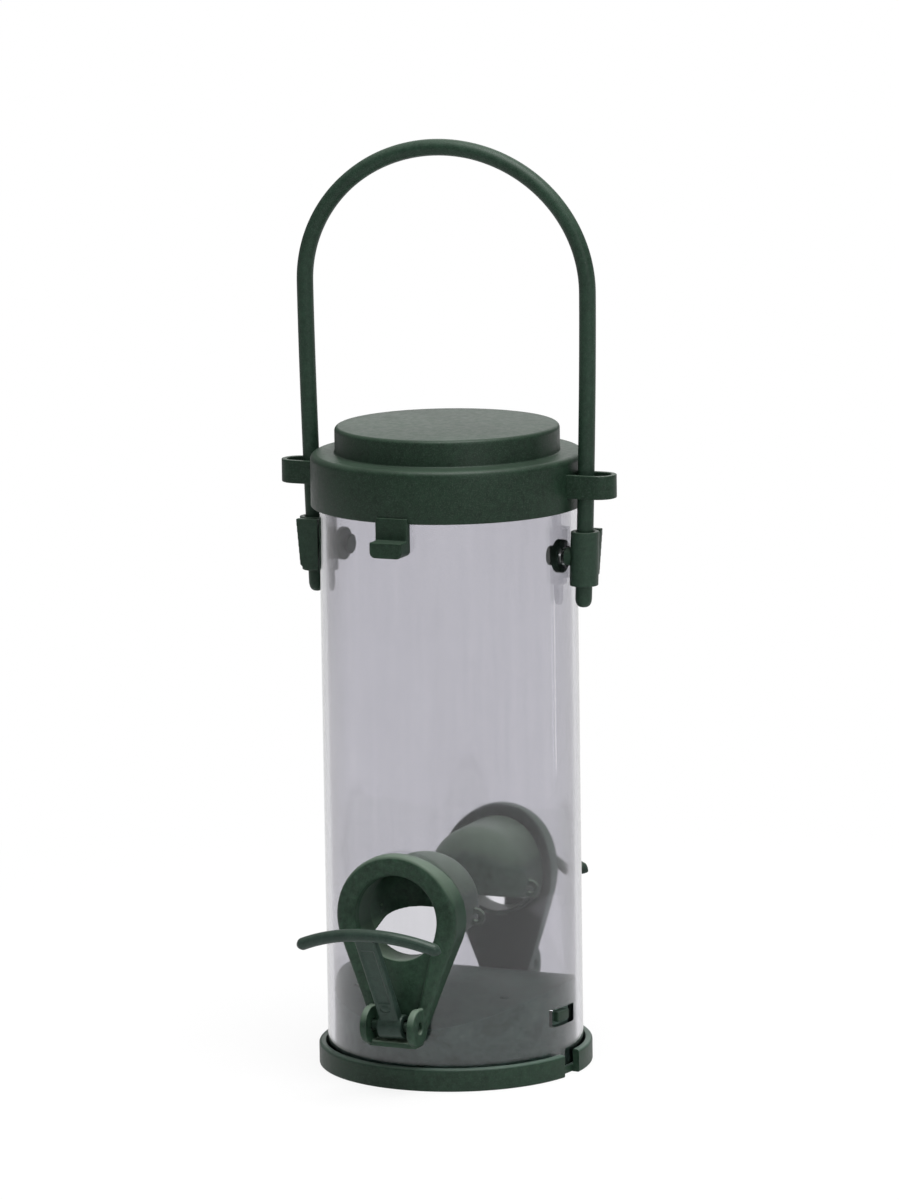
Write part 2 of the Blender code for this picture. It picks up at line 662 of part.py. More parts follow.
def make_collar():
    """The front port's collar: a teardrop rim round the throat and tray, and its hinge."""
    def teardrop(radius, foot_height, half_width, small, grow):
        foot = foot_height + small
        side = half_width - small
        return band_round([
            (0, PORT_HEIGHT, radius + grow),
            (-side, foot, small + grow),
            (side, foot, small + grow),
        ])

    e = COLLAR_EDGE_ROUND
    outside = teardrop(COLLAR_RADIUS, COLLAR_FOOT_HEIGHT, COLLAR_FOOT_HALF_WIDTH,
                       COLLAR_FOOT_CORNER, -e)
    inside = teardrop(COLLAR_OPENING_RADIUS, TRAY_FOOT_HEIGHT, TRAY_HALF_WIDTH,
                      TRAY_CORNER, e)
    rim_depth = COLLAR_BACK + COLLAR_DEPTH - COLLAR_REAR
    rim = facing_front(plate("rim", [outside, inside[::-1]], rim_depth, e), COLLAR_REAR, rim_depth)
    floor_outline = teardrop(COLLAR_RADIUS, COLLAR_FOOT_HEIGHT, COLLAR_FOOT_HALF_WIDTH,
                             COLLAR_FOOT_CORNER, -e)
    floor_depth = TRAY_FACE - COLLAR_REAR - e
    floor = plate("tray_floor", [floor_outline], floor_depth)
    join(rim, facing_front(floor, COLLAR_REAR + e, floor_depth))
    tube_room = rod("tube_room", (0, 0, 0), (0, 0, PORT_HEIGHT + COLLAR_RADIUS + CUT_OVERRUN),
                    COLLAR_BACK, ROUND_STEPS)
    cut(rim, tube_room)
    collar = tool("collar_body", worked(rim))

    sleeve_front = (COLLAR_BACK + TRAY_FACE) / 2
    join(collar, rod("sleeve", (0, -SLEEVE_END, PORT_HEIGHT), (0, -sleeve_front, PORT_HEIGHT),
                     SLEEVE_RADIUS, BORE_STEPS))
    lug_root = COLLAR_BACK + COLLAR_DEPTH / 3
    for near in (-1, 1):
        a, b = sorted((near * LUG_INNER_X, near * LUG_OUTER_X))
        join(collar, rod(f"lug_{near}", (a, -HINGE_Y, HINGE_HEIGHT), (b, -HINGE_Y, HINGE_HEIGHT),
                         LUG_RADIUS, ROD_STEPS))
    sill_x = (LUG_INNER_X + LUG_OUTER_X) / 2
    join(collar, slab("sill", (-sill_x, -SILL_REACH, SILL_TOP - SILL_THICKNESS),
                      (sill_x, -lug_root, SILL_TOP)))
    throat_front = COLLAR_BACK + COLLAR_DEPTH + CUT_OVERRUN
    cut(collar, rod("throat", (0, CUT_OVERRUN - SLEEVE_END, PORT_HEIGHT),
                    (0, -throat_front, PORT_HEIGHT), THROAT_RADIUS, BORE_STEPS))
    reach = LUG_OUTER_X + CUT_OVERRUN
    cut(collar, rod("pin_holes", (-reach, -HINGE_Y, HINGE_HEIGHT), (reach, -HINGE_Y, HINGE_HEIGHT),
                    PIN_HOLE_RADIUS, ROD_STEPS))
    return worked(collar)


def make_hood():
    """The front port's hood: a round cover inside the tube, closed behind, open below."""
    r = HOOD_END_ROUND
    inner_r = HOOD_END_ROUND - HOOD_WALL
    top = HOOD_OPEN_END + CUT_OVERRUN
    end, inner_end = HOOD_END, HOOD_END + HOOD_WALL
    profile = [(HOOD_RADIUS, top)]
    profile += corner((HOOD_RADIUS - r, end + r), r, 0, -pi / 2, DOME_STEPS)
    profile += [(0, end), (0, inner_end)]
    inner_middle = (HOOD_BORE - inner_r, inner_end + inner_r)
    profile += corner(inner_middle, inner_r, -pi / 2, 0, DOME_STEPS)
    profile += [(HOOD_BORE, top)]
    hood = tool("hood_body", worked(turned("hood_cup", profile, BORE_STEPS, closed=True)))
    stand(hood, [(1, 0, 0, 0), (0, 0, -1, 0), (0, 1, 0, PORT_HEIGHT), (0, 0, 0, 1)])

    slope = (HOOD_MOUTH_DEEP - HOOD_MOUTH_SHALLOW) / (HOOD_OPEN_END - HOOD_END)
    low = PORT_HEIGHT - HOOD_RADIUS - CUT_OVERRUN
    near_y, far_y = HOOD_END - CUT_OVERRUN, HOOD_OPEN_END + CUT_OVERRUN
    below = plate("below_mouth", [[
        (-far_y, low),
        (-near_y, low),
        (-near_y, HOOD_MOUTH_DEEP + slope * CUT_OVERRUN),
        (-far_y, HOOD_MOUTH_SHALLOW - slope * CUT_OVERRUN),
    ]], 2 * (HOOD_RADIUS + CUT_OVERRUN))
    cut(hood, stand(below, [(0, 0, 1, 0), (1, 0, 0, 0), (0, 1, 0, 0), (0, 0, 0, 1)]))
    inside_tube = rod("inside_tube", (0, 0, 0), (0, 0, TUBE_TOP), HOOD_OPEN_END, ROUND_STEPS)
    boolean(hood, inside_tube, "INTERSECT")
    face = EYELET_Y + EYELET_THICKNESS
    for near in (-1, 1):
        x = near * EYELET_X
        eyelet = rod(f"eyelet_{near}", (x, -face, EYELET_HEIGHT), (x, -EYELET_Y, EYELET_HEIGHT),
                     EYELET_RADIUS, ROD_STEPS)
        cut(eyelet, rod(f"eyelet_hole_{near}", (x, -face - CUT_OVERRUN, EYELET_HEIGHT),
                        (x, CUT_OVERRUN - EYELET_Y, EYELET_HEIGHT), EYELET_HOLE_RADIUS, ROD_STEPS))
        join(hood, eyelet)
    return worked(hood)


def make_perch():
    """A perch about its hinge: knuckle, channelled stem and curved bar, standing upright."""
    stem = slab("stem", (-STEM_WIDTH / 2, -STEM_THICKNESS / 2, 0),
                (STEM_WIDTH / 2, STEM_THICKNESS / 2, PERCH_LENGTH))
    channel_floor = -STEM_THICKNESS / 2 + CHANNEL_DEPTH
    channel_low = KNUCKLE_RADIUS + CHANNEL_MARGIN
    channel_high = PERCH_LENGTH - PERCH_BAR_RADIUS - CHANNEL_MARGIN / 2
    cut(stem, slab("channel", (-CHANNEL_WIDTH / 2, -STEM_THICKNESS, channel_low),
                   (CHANNEL_WIDTH / 2, channel_floor, channel_high)))
    join(stem, rod("knuckle", (-KNUCKLE_HALF_WIDTH, 0, 0), (KNUCKLE_HALF_WIDTH, 0, 0),
                   KNUCKLE_RADIUS, ROD_STEPS))
    half = PERCH_BAR_LENGTH / 2 - PERCH_BAR_RADIUS
    bar_curve = (half**2 + PERCH_BAR_SAG**2) / (2 * PERCH_BAR_SAG)
    tip_width_shares = (0.4, 0.85, 1.0)
    tips = [half + PERCH_BAR_RADIUS, half + PERCH_BAR_RADIUS / 2, half]
    count = 10
    inner = [half * (1 - 2 * i / count) for i in range(1, count)]
    xs = tips + inner + [-x for x in reversed(tips)]
    points = [(x, 0, PERCH_LENGTH - bar_curve + sqrt(bar_curve**2 - x**2)) for x in xs]
    join(stem, wire("perch_bar", points, PERCH_BAR_RADIUS, 2, tip_width_shares))
    reach = KNUCKLE_HALF_WIDTH + CUT_OVERRUN
    cut(stem, rod("knuckle_bore", (-reach, 0, 0), (reach, 0, 0), PIN_HOLE_RADIUS, ROD_STEPS))
    return worked(stem)


def make_pin():
    """A perch's hinge pin, lying along X."""
    half = LUG_OUTER_X - PIN_RECESS
    return worked(rod("pin", (-half, 0, 0), (half, 0, 0), PIN_RADIUS, ROD_STEPS))


plastic = {"colour": GREEN, "roughness": 0.5}
piece("base", make_base(), material("base_green", **plastic))
piece("tube", make_tube(), material("tube_clear", CLEAR, 0.06, transmission=0.95))
piece("lid", make_lid(), material("lid_green", **plastic))
piece("handle", make_handle(), material("handle_green", **plastic))

clip_mesh = make_clip()
for side, turn in (("right", 0), ("left", pi)):
    name = f"{side}_handle_clip"
    piece(name, clip_mesh, material(f"{name}_green", **plastic), rotation=(0, 0, turn))

collar_mesh, hood_mesh = make_collar(), make_hood()
perch_mesh, pin_mesh = make_perch(), make_pin()
for side, turn, tilt in (("front", 0, FRONT_PERCH_TILT), ("back", pi, BACK_PERCH_TILT)):
    hinge = (0, -HINGE_Y * cos(turn), HINGE_HEIGHT)
    for what, mesh, at, lean in (
        ("port_collar", collar_mesh, (0, 0, 0), 0),
        ("port_hood", hood_mesh, (0, 0, 0), 0),
        ("perch", perch_mesh, hinge, tilt),
        ("perch_pin", pin_mesh, hinge, 0),
    ):
        name = f"{side}_{what}"
        piece(name, mesh, material(f"{name}_green", **plastic), at, (lean, 0, turn))
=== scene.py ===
"""Seed bird feeder: a clear tube between a green moulded base and lid, hung from a bail
handle, with two seed ports on opposite sides, each with a folding T perch.

Metres, +Z up, on the solids' own places. The front port faces -Y.
"""
from math import cos, hypot, pi, radians, sin, sqrt, tau

import bmesh
import bpy
from mathutils import Matrix, Quaternion, Vector


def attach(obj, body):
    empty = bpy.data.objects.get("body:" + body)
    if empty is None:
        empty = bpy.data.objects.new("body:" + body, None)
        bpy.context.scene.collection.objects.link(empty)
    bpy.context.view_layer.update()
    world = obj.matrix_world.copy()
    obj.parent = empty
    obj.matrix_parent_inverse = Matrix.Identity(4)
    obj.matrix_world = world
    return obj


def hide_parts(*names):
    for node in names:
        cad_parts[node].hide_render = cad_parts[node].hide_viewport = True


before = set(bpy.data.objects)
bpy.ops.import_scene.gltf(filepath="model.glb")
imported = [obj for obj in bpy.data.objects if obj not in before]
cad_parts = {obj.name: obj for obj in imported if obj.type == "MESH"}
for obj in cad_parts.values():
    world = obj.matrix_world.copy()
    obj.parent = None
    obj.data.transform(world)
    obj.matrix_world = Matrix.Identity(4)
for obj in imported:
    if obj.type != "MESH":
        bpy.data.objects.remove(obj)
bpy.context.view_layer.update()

mm = 0.001
weld = 0.001 * mm
overrun = 2.0 * mm
no_turn = Matrix.Identity(4)
half_turn = Matrix.Rotation(pi, 4, "Z")


# The camera: a long lens looking a little down on the feeder from the right of its front
# port, with the slight lean that the photograph has.
camera_aim = Vector((0, 0, 118.8 * mm))
camera_distance = 1724 * mm
camera_turn, camera_rise, camera_lean = radians(24.0), radians(10.0), radians(-0.84)
camera_way = Vector((
    sin(camera_turn) * cos(camera_rise),
    -cos(camera_turn) * cos(camera_rise),
    sin(camera_rise),
))
camera_data = bpy.data.cameras.new("camera")
camera_data.sensor_width = 36
camera_data.lens = 205.3
camera_data.clip_start, camera_data.clip_end = 0.05, 20
camera = bpy.data.objects.new("camera", camera_data)
camera.location = camera_aim + camera_distance * camera_way
camera.rotation_mode = "QUATERNION"
camera_level = (-camera_way).to_track_quat("-Z", "Y")
camera.rotation_quaternion = camera_level @ Quaternion((0, 0, 1), camera_lean)
bpy.context.scene.collection.objects.link(camera)
bpy.context.scene.camera = camera


# The base: one dark green moulding. A low ring carries the tube in a groove, a cup stands
# inside the tube, and its floor is a vault that sheds the seed to both ports. Two nubs on
# the cup snap into slots in the tube, and crossed ribs stiffen it underneath.
tube_radius = 32.5 * mm
tube_bore = 30.9 * mm
cup_radius = 30.6 * mm
cup_wall = 1.6 * mm
cup_bore = cup_radius - cup_wall
ring_bore = 33.0 * mm
ring_radius = 34.8 * mm
ring_height = 5.8 * mm
ring_top_round = 0.7 * mm
ring_foot_round = 0.4 * mm
ring_bore_round = 0.25 * mm
groove_floor = 1.8 * mm
vault_crest = 23.0 * mm
vault_fall = 8.2 * mm
rib_half = 0.8 * mm
pad_radius = 5.0 * mm
notch_half = 3.4 * mm
notch_foot = 32.5 * mm
snap_height = 15.2 * mm
nub_reach = 32.3 * mm
nub_half_width = 2.6 * mm
nub_half_height = 1.3 * mm
nub_round = 0.3 * mm
to_snap = Matrix.Rotation(radians(-8.5), 4, "Z")
drain_x, drain_y, drain_height = 20.0 * mm, 15.0 * mm, 19.1 * mm
drain_half = Vector((1.1 * mm, 0.6 * mm, 3.9 * mm))


def spun(outline, steps):
    """A shape turned round the tube's axis from an outline of radius and height."""
    shape = bmesh.new()
    points = [shape.verts.new((radius, 0, height)) for radius, height in outline]
    lines = [shape.edges.new(pair) for pair in zip(points, points[1:])]
    bmesh.ops.spin(
        shape,
        geom=points + lines,
        cent=(0, 0, 0),
        axis=(0, 0, 1),
        dvec=(0, 0, 0),
        angle=tau,
        steps=steps,
        use_merge=True,
        use_duplicate=False,
    )
    bmesh.ops.remove_doubles(shape, verts=shape.verts, dist=weld)
    bmesh.ops.recalc_face_normals(shape, faces=shape.faces)
    return shape


def bevel(shape, edges, width, segments):
    """Rounds edges to a width."""
    bmesh.ops.bevel(
        shape,
        geom=edges,
        offset=width,
        offset_type="OFFSET",
        segments=segments,
        profile=0.5,
        affect="EDGES",
        clamp_overlap=True,
        material=-1,
    )


def round_rings(shape, corners, width, segments):
    """Rounds the ring edges that pass through the given radii and heights."""
    edges = []
    for edge in shape.edges:
        for radius, height in corners:
            if all(
                hypot(hypot(v.co.x, v.co.y) - radius, v.co.z - height) < 10 * weld
                for v in edge.verts
            ):
                edges.append(edge)
    bevel(shape, edges, width, segments)


def block(low, high, edge_round=0.0):
    """A box between two corners, with its edges rounded."""
    shape = bmesh.new()
    low, high = Vector(low), Vector(high)
    bmesh.ops.create_cube(shape, size=1)
    bmesh.ops.scale(shape, vec=high - low, verts=shape.verts)
    bmesh.ops.translate(shape, vec=(low + high) / 2, verts=shape.verts)
    if edge_round:
        bevel(shape, shape.edges[:], edge_round, 4)
    return shape


def bar(start, end, radius, sides, edge_round=0.0):
    """A round bar from one point to another, with its ends rounded."""
    shape = bmesh.new()
    start, end = Vector(start), Vector(end)
    aim = (end - start).to_track_quat("Z", "Y").to_matrix().to_4x4()
    bmesh.ops.create_cone(
        shape,
        cap_ends=True,
        segments=sides,
        radius1=radius,
        radius2=radius,
        depth=(end - start).length,
    )
    if edge_round:
        rims = [e for e in shape.edges if abs(e.verts[0].co.z - e.verts[1].co.z) < weld]
        bevel(shape, rims, edge_round, 4)
    shape.transform(Matrix.Translation((start + end) / 2) @ aim)
    return shape


def mesh_of(shape, name):
    """A shape as a mesh."""
    mesh = bpy.data.meshes.new(name)
    shape.to_mesh(mesh)
    shape.free()
    return mesh


def carved(shape, steps):
    """Works other shapes into a shape, one after another, and gives the result."""
    body = bpy.data.objects.new("body", mesh_of(shape, "body"))
    bpy.context.scene.collection.objects.link(body)
    tools = []
    for operation, other in steps:
        tool = bpy.data.objects.new("tool", mesh_of(other, "tool"))
        bpy.context.scene.collection.objects.link(tool)
        tools.append(tool)
        step = body.modifiers.new("step", "BOOLEAN")
        step.solver = "EXACT"
        step.operation = operation
        step.object = tool
    bpy.context.view_layer.update()
    result = bmesh.new()
    result.from_object(body, bpy.context.evaluated_depsgraph_get())
    for used in [body, *tools]:
        bpy.data.objects.remove(used)
    return result


def vault_block(drop, half_width):
    """Everything above the vaulted floor, or above its underside."""
    shape = bmesh.new()
    count = 64
    reach = cup_radius + overrun
    row = []
    for i in range(count + 1):
        y = reach * (2 * i / count - 1)
        height = vault_crest - vault_fall * (y / cup_radius) ** 2 - drop
        row.append(shape.verts.new((-half_width, y, height)))
    row.append(shape.verts.new((-half_width, reach, vault_crest + overrun)))
    row.append(shape.verts.new((-half_width, -reach, vault_crest + overrun)))
    face = shape.faces.new(row)
    grown = bmesh.ops.extrude_face_region(shape, geom=[face])
    corners = [v for v in grown["geom"] if isinstance(v, bmesh.types.BMVert)]
    bmesh.ops.translate(shape, vec=(2 * half_width, 0, 0), verts=corners)
    bmesh.ops.recalc_face_normals(shape, faces=shape.faces)
    return shape


def rounded_wall(mesh, radii):
    """Gives the faces of upright round walls the normals of a true circle."""
    upright, square, play = 0.02, 0.99, 0.02 * mm
    normals = [normal.vector.copy() for normal in mesh.corner_normals]
    for polygon in mesh.polygons:
        if abs(polygon.normal.z) > upright:
            continue
        flat = [mesh.vertices[i].co.xy for i in polygon.vertices]
        way = polygon.center.xy.normalized().dot(polygon.normal.xy)
        if abs(way) <= square:
            continue
        for radius in radii:
            if all(abs(p.length - radius) < play for p in flat):
                for i in polygon.loop_indices:
                    place = mesh.vertices[mesh.loops[i].vertex_index].co
                    out = Vector((place.x, place.y, 0)).normalized()
                    normals[i] = out if way > 0 else -out
    mesh.normals_split_custom_set(normals)


base_shape = spun(
    [
        (0, vault_crest + overrun / 2),
        (cup_radius, vault_crest + overrun / 2),
        (cup_radius, groove_floor),
        (ring_bore, groove_floor),
        (ring_bore, ring_height),
        (ring_radius, ring_height),
        (ring_radius, 0),
        (0, 0),
    ],
    192,
)
round_rings(base_shape, [(ring_radius, ring_height)], ring_top_round, 5)
round_rings(base_shape, [(ring_radius, 0)], ring_foot_round, 3)
round_rings(base_shape, [(ring_bore, ring_height)], ring_bore_round, 3)
base_shape = carved(base_shape, [("DIFFERENCE", vault_block(0, ring_radius))])
bmesh.ops.triangulate(base_shape, faces=base_shape.faces)

# The hollow underneath, less its ribs and its pad.
rib_low, rib_high = -2 * overrun, vault_crest
hollow = carved(bar((0, 0, -overrun), (0, 0, vault_crest), cup_bore, 192), [
    ("DIFFERENCE", vault_block(cup_wall, ring_radius)),
    ("DIFFERENCE", block((-ring_radius, -rib_half, rib_low), (ring_radius, rib_half, rib_high))),
    ("DIFFERENCE", block((-rib_half, -ring_radius, rib_low), (rib_half, ring_radius, rib_high))),
    ("DIFFERENCE", bar((0, 0, rib_low), (0, 0, rib_high), pad_radius, 64)),
])
bmesh.ops.triangulate(hollow, faces=hollow.faces)
steps = [("DIFFERENCE", hollow)]
for near in (-1, 1):
    x0, x1 = sorted((near * notch_foot, near * (ring_radius + overrun)))
    notch = block((x0, -notch_half, -overrun), (x1, notch_half, ring_height + overrun))
    notch.transform(to_snap)
    steps.append(("DIFFERENCE", notch))
    x0, x1 = sorted((near * (cup_radius - cup_wall / 2), near * nub_reach))
    nub = block((x0, -nub_half_width, snap_height - nub_half_height),
                (x1, nub_half_width, snap_height + nub_half_height), nub_round)
    nub.transform(to_snap)
    steps.append(("UNION", nub))
    for far in (-1, 1):
        middle = Vector((near * drain_x, far * drain_y, drain_height))
        steps.append(("DIFFERENCE", block(middle - drain_half, middle + drain_half)))
base_shape = carved(base_shape, steps)


def wired(tree, kind, output, inputs, **settings):
    """One output of a new node whose inputs are linked or set, by name or by place."""
    made = tree.nodes.new(kind)
    for name, value in settings.items():
        setattr(made, name, value)
    for name, value in inputs.items():
        if isinstance(value, bpy.types.NodeSocket):
            tree.links.new(value, made.inputs[name])
        else:
            made.inputs[name].default_value = value
    return made.outputs[output]


def noise(tree, place, scale, detail, roughness):
    return wired(tree, "ShaderNodeTexNoise", "Fac", {
        "Vector": place, "Scale": scale, "Detail": detail, "Roughness": roughness})


def ranged(tree, value, from_low, from_high, to_low, to_high):
    return wired(tree, "ShaderNodeMapRange", "Result", {
        "Value": value, "From Min": from_low, "From Max": from_high,
        "To Min": to_low, "To Max": to_high})


def maths(tree, operation, first, second):
    return wired(tree, "ShaderNodeMath", "Value", {0: first, 1: second}, operation=operation)


def distance(tree, place):
    return wired(tree, "ShaderNodeVectorMath", "Value", {0: place}, operation="LENGTH")


def mixed(tree, share, first, second):
    return wired(tree, "ShaderNodeMix", "Result", {"Factor": share, "A": first, "B": second},
                 data_type="RGBA")


grain_height = 0.015 * mm


def grain_group():
    """Moulded plastic's grain, mottled and with pale specks, and a painted top light that
    lightens the faces that look up.
    """
    group = bpy.data.node_groups.new("grain_and_top_light", "ShaderNodeTree")
    face = group.interface
    for name, kind, value in (
        ("Colour", "NodeSocketColor", (0.02, 0.04, 0.03, 1)),
        ("Speck Colour", "NodeSocketColor", (0.055, 0.075, 0.062, 1)),
        ("Speck Amount", "NodeSocketFloat", 0.5),
        ("Mottle", "NodeSocketFloat", 0.3),
        ("Painted Top Light Colour", "NodeSocketColor", (0.11, 0.145, 0.115, 1)),
        ("Painted Top Light", "NodeSocketFloat", 0.0),
        ("Roughness", "NodeSocketFloat", 0.5),
        ("Grain Depth", "NodeSocketFloat", 0.3),
    ):
        socket = face.new_socket(name, in_out="INPUT", socket_type=kind)
        socket.default_value = value
    face.new_socket("Colour", in_out="OUTPUT", socket_type="NodeSocketColor")
    face.new_socket("Roughness", in_out="OUTPUT", socket_type="NodeSocketFloat")
    face.new_socket("Normal", in_out="OUTPUT", socket_type="NodeSocketVector")
    given = group.nodes.new("NodeGroupInput").outputs
    out = group.nodes.new("NodeGroupOutput").inputs
    place = group.nodes.new("ShaderNodeTexCoord").outputs

    fine = noise(group, place["Object"], 3200.0, 2.0, 0.6)
    middling = noise(group, place["Object"], 650.0, 4.0, 0.7)
    wide = noise(group, place["Object"], 45.0, 3.0, 0.5)
    patches = maths(group, "ADD", ranged(group, wide, 0.3, 0.7, -0.35, 0.35),
                    ranged(group, middling, 0.3, 0.7, -0.6, 0.6))
    shade = maths(group, "ADD", maths(group, "MULTIPLY", patches, given["Mottle"]), 1.0)
    mottled = wired(group, "ShaderNodeVectorMath", "Vector",
                    {0: given["Colour"], "Scale": shade}, operation="SCALE")
    specks = maths(group, "MULTIPLY", ranged(group, fine, 0.48, 0.78, 0.0, 1.0),
                   given["Speck Amount"])
    specked = mixed(group, specks, mottled, given["Speck Colour"])
    # Painted top light: faces that look up take on the top-lit colour, unevenly, in place of
    # light from above.
    upward = wired(group, "ShaderNodeSeparateXYZ", "Z", {"Vector": place["Normal"]})
    skyward = ranged(group, upward, 0.25, 0.95, 0.0, 1.0)
    uneven_top_light = maths(group, "MULTIPLY", ranged(group, wide, 0.3, 0.7, 0.75, 1.15),
                          given["Painted Top Light"])
    painted_top_light = maths(group, "MULTIPLY", skyward, uneven_top_light)
    top_lit_colour = mixed(group, painted_top_light, specked, given["Painted Top Light Colour"])
    roughness = maths(group, "ADD", given["Roughness"],
                      ranged(group, middling, 0.3, 0.7, -0.06, 0.06))
    normal = wired(group, "ShaderNodeBump", "Normal", {
        "Strength": given["Grain Depth"], "Distance": grain_height, "Height": fine})
    group.links.new(top_lit_colour, out["Colour"])
    group.links.new(roughness, out["Roughness"])
    group.links.new(normal, out["Normal"])
    return group


grain_and_top_light = grain_group()


def green_plastic(name, colour, roughness, specks, mottle, grain, painted_top_light=0.0,
                  top_lit_colour=(0.11, 0.145, 0.115)):
    """A dark green moulded plastic with its own tone and grain, and a painted top light on faces
    that look up.
    """
    made = bpy.data.materials.new(name)
    made.use_nodes = True
    nodes, links = made.node_tree.nodes, made.node_tree.links
    shader = nodes["Principled BSDF"]
    shader.inputs["Metallic"].default_value = 0.0
    shader.inputs["Specular IOR Level"].default_value = 0.18
    moulded = nodes.new("ShaderNodeGroup")
    moulded.node_tree = grain_and_top_light
    for socket, value in (
        ("Colour", (*colour, 1)),
        ("Roughness", roughness),
        ("Speck Amount", specks),
        ("Mottle", mottle),
        ("Grain Depth", grain),
        ("Painted Top Light", painted_top_light),
        ("Painted Top Light Colour", (*top_lit_colour, 1)),
    ):
        moulded.inputs[socket].default_value = value
    links.new(moulded.outputs["Colour"], shader.inputs["Base Color"])
    links.new(moulded.outputs["Roughness"], shader.inputs["Roughness"])
    links.new(moulded.outputs["Normal"], shader.inputs["Normal"])
    return made


def placed(name, shape, material, sharp=None):
    """A finished piece: smooth, with its corners kept where a sharp angle is given."""
    mesh = mesh_of(shape, name)
    mesh.materials.append(material)
    mesh.shade_smooth()
    if sharp is not None:
        mesh.set_sharp_from_angle(angle=sharp)
    piece = bpy.data.objects.new(name, mesh)
    bpy.context.scene.collection.objects.link(piece)
    return piece


# Inside the tube's circle the base's plastic is lighter and greener, in patches.
lighter_full, lighter_end = 30.9 * mm, 31.2 * mm
base_green = green_plastic(
    "base_plastic", (0.0130, 0.0305, 0.0185), roughness=0.46, specks=0.35, mottle=0.5,
    grain=0.04, painted_top_light=0.4, top_lit_colour=(0.17, 0.235, 0.2))
base_tree = base_green.node_tree
base_colour = base_tree.nodes["Principled BSDF"].inputs["Base Color"]
base_place = base_tree.nodes.new("ShaderNodeTexCoord").outputs["Object"]
base_level = wired(base_tree, "ShaderNodeVectorMath", "Vector",
                   {0: base_place, 1: (1, 1, 0)}, operation="MULTIPLY")
inside = ranged(base_tree, distance(base_tree, base_level), lighter_end, lighter_full, 0.0, 1.0)
lighter_patches = noise(base_tree, base_place, 240.0, 5.0, 0.7)
lighter_share = maths(base_tree, "MULTIPLY", inside,
                   ranged(base_tree, lighter_patches, 0.3, 0.7, 0.2, 1.0))
lighter_inside = mixed(base_tree, lighter_share, base_colour.links[0].from_socket,
              (0.105, 0.172, 0.142, 1))
base_tree.links.new(lighter_inside, base_colour)
base = placed("feeder_base", base_shape, base_green, radians(30))
rounded_wall(base.data, [cup_radius, ring_radius, ring_bore, cup_bore])
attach(base, "feeder")
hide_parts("base")


# The tube: clear extruded plastic, a little grey and scuffed with use, cut for the two
# ports, the studs of the handle's clips and the base's nubs. Its ends stand in the base's
# groove and in the lid.
tube_foot = 2.1 * mm
tube_top = 155.0 * mm
tube_round = 0.25 * mm
port_height = 44.0 * mm
port_hole_radius = 12.3 * mm
stud_height = 131.8 * mm
stud_hole_radius = 2.6 * mm
snap_slot_half_width = 5.1 * mm
snap_slot_half_height = 2.3 * mm
snap_slot_round = 0.6 * mm


def pipe(outer, inner, start, end, steps):
    """A straight pipe on the tube's axis."""
    return spun([(outer, start), (outer, end), (inner, end), (inner, start), (outer, start)],
                steps)


tube_shape = pipe(tube_radius, tube_bore, tube_top, tube_foot, 256)
tube_corners = [(r, z) for r in (tube_bore, tube_radius) for z in (tube_foot, tube_top)]
round_rings(tube_shape, tube_corners, tube_round, 3)
across = tube_radius + overrun
snap_slots = block((-across, -snap_slot_half_width, snap_height - snap_slot_half_height),
                   (across, snap_slot_half_width, snap_height + snap_slot_half_height),
                   snap_slot_round)
snap_slots.transform(to_snap)
tube_shape = carved(tube_shape, [
    ("DIFFERENCE", bar((0, -across, port_height), (0, across, port_height),
                       port_hole_radius, 128)),
    ("DIFFERENCE", bar((-across, 0, stud_height), (across, 0, stud_height),
                       stud_hole_radius, 48)),
    ("DIFFERENCE", snap_slots),
])

clear = bpy.data.materials.new("clear_plastic")
clear.use_nodes = True
clear_tree = clear.node_tree
clear_shader = clear_tree.nodes["Principled BSDF"]
clear_shader.inputs["Metallic"].default_value = 0.0
clear_shader.inputs["Transmission Weight"].default_value = 1.0
clear_shader.inputs["IOR"].default_value = 1.49
clear_place = clear_tree.nodes.new("ShaderNodeTexCoord").outputs["Object"]
clear_drawn = wired(clear_tree, "ShaderNodeMapping", "Vector",
                    {"Vector": clear_place, "Scale": (1.0, 1.0, 0.05)})
scuffs = noise(clear_tree, clear_drawn, 380.0, 5.0, 0.65)
haze = noise(clear_tree, clear_place, 38.0, 4.0, 0.5)
edge_on = wired(clear_tree, "ShaderNodeLayerWeight", "Facing", {"Blend": 0.5})
clear_grey = maths(clear_tree, "MULTIPLY", ranged(clear_tree, scuffs, 0.35, 0.7, 1.02, 0.97),
                   ranged(clear_tree, haze, 0.3, 0.7, 1.01, 0.98))
clear_grey = maths(clear_tree, "MULTIPLY", clear_grey,
                   ranged(clear_tree, edge_on, 0.4, 0.95, 1.0, 0.6))
clear_tint = wired(clear_tree, "ShaderNodeVectorMath", "Vector",
                   {0: (0.675, 0.67, 0.705), "Scale": clear_grey}, operation="SCALE")
clear_tree.links.new(clear_tint, clear_shader.inputs["Base Color"])
clear_tree.links.new(ranged(clear_tree, scuffs, 0.35, 0.75, 0.02, 0.09),
                     clear_shader.inputs["Roughness"])
tube = placed("clear_tube", tube_shape, clear, radians(30))
rounded_wall(tube.data, [tube_bore, tube_radius])
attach(tube, "feeder")
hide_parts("tube")


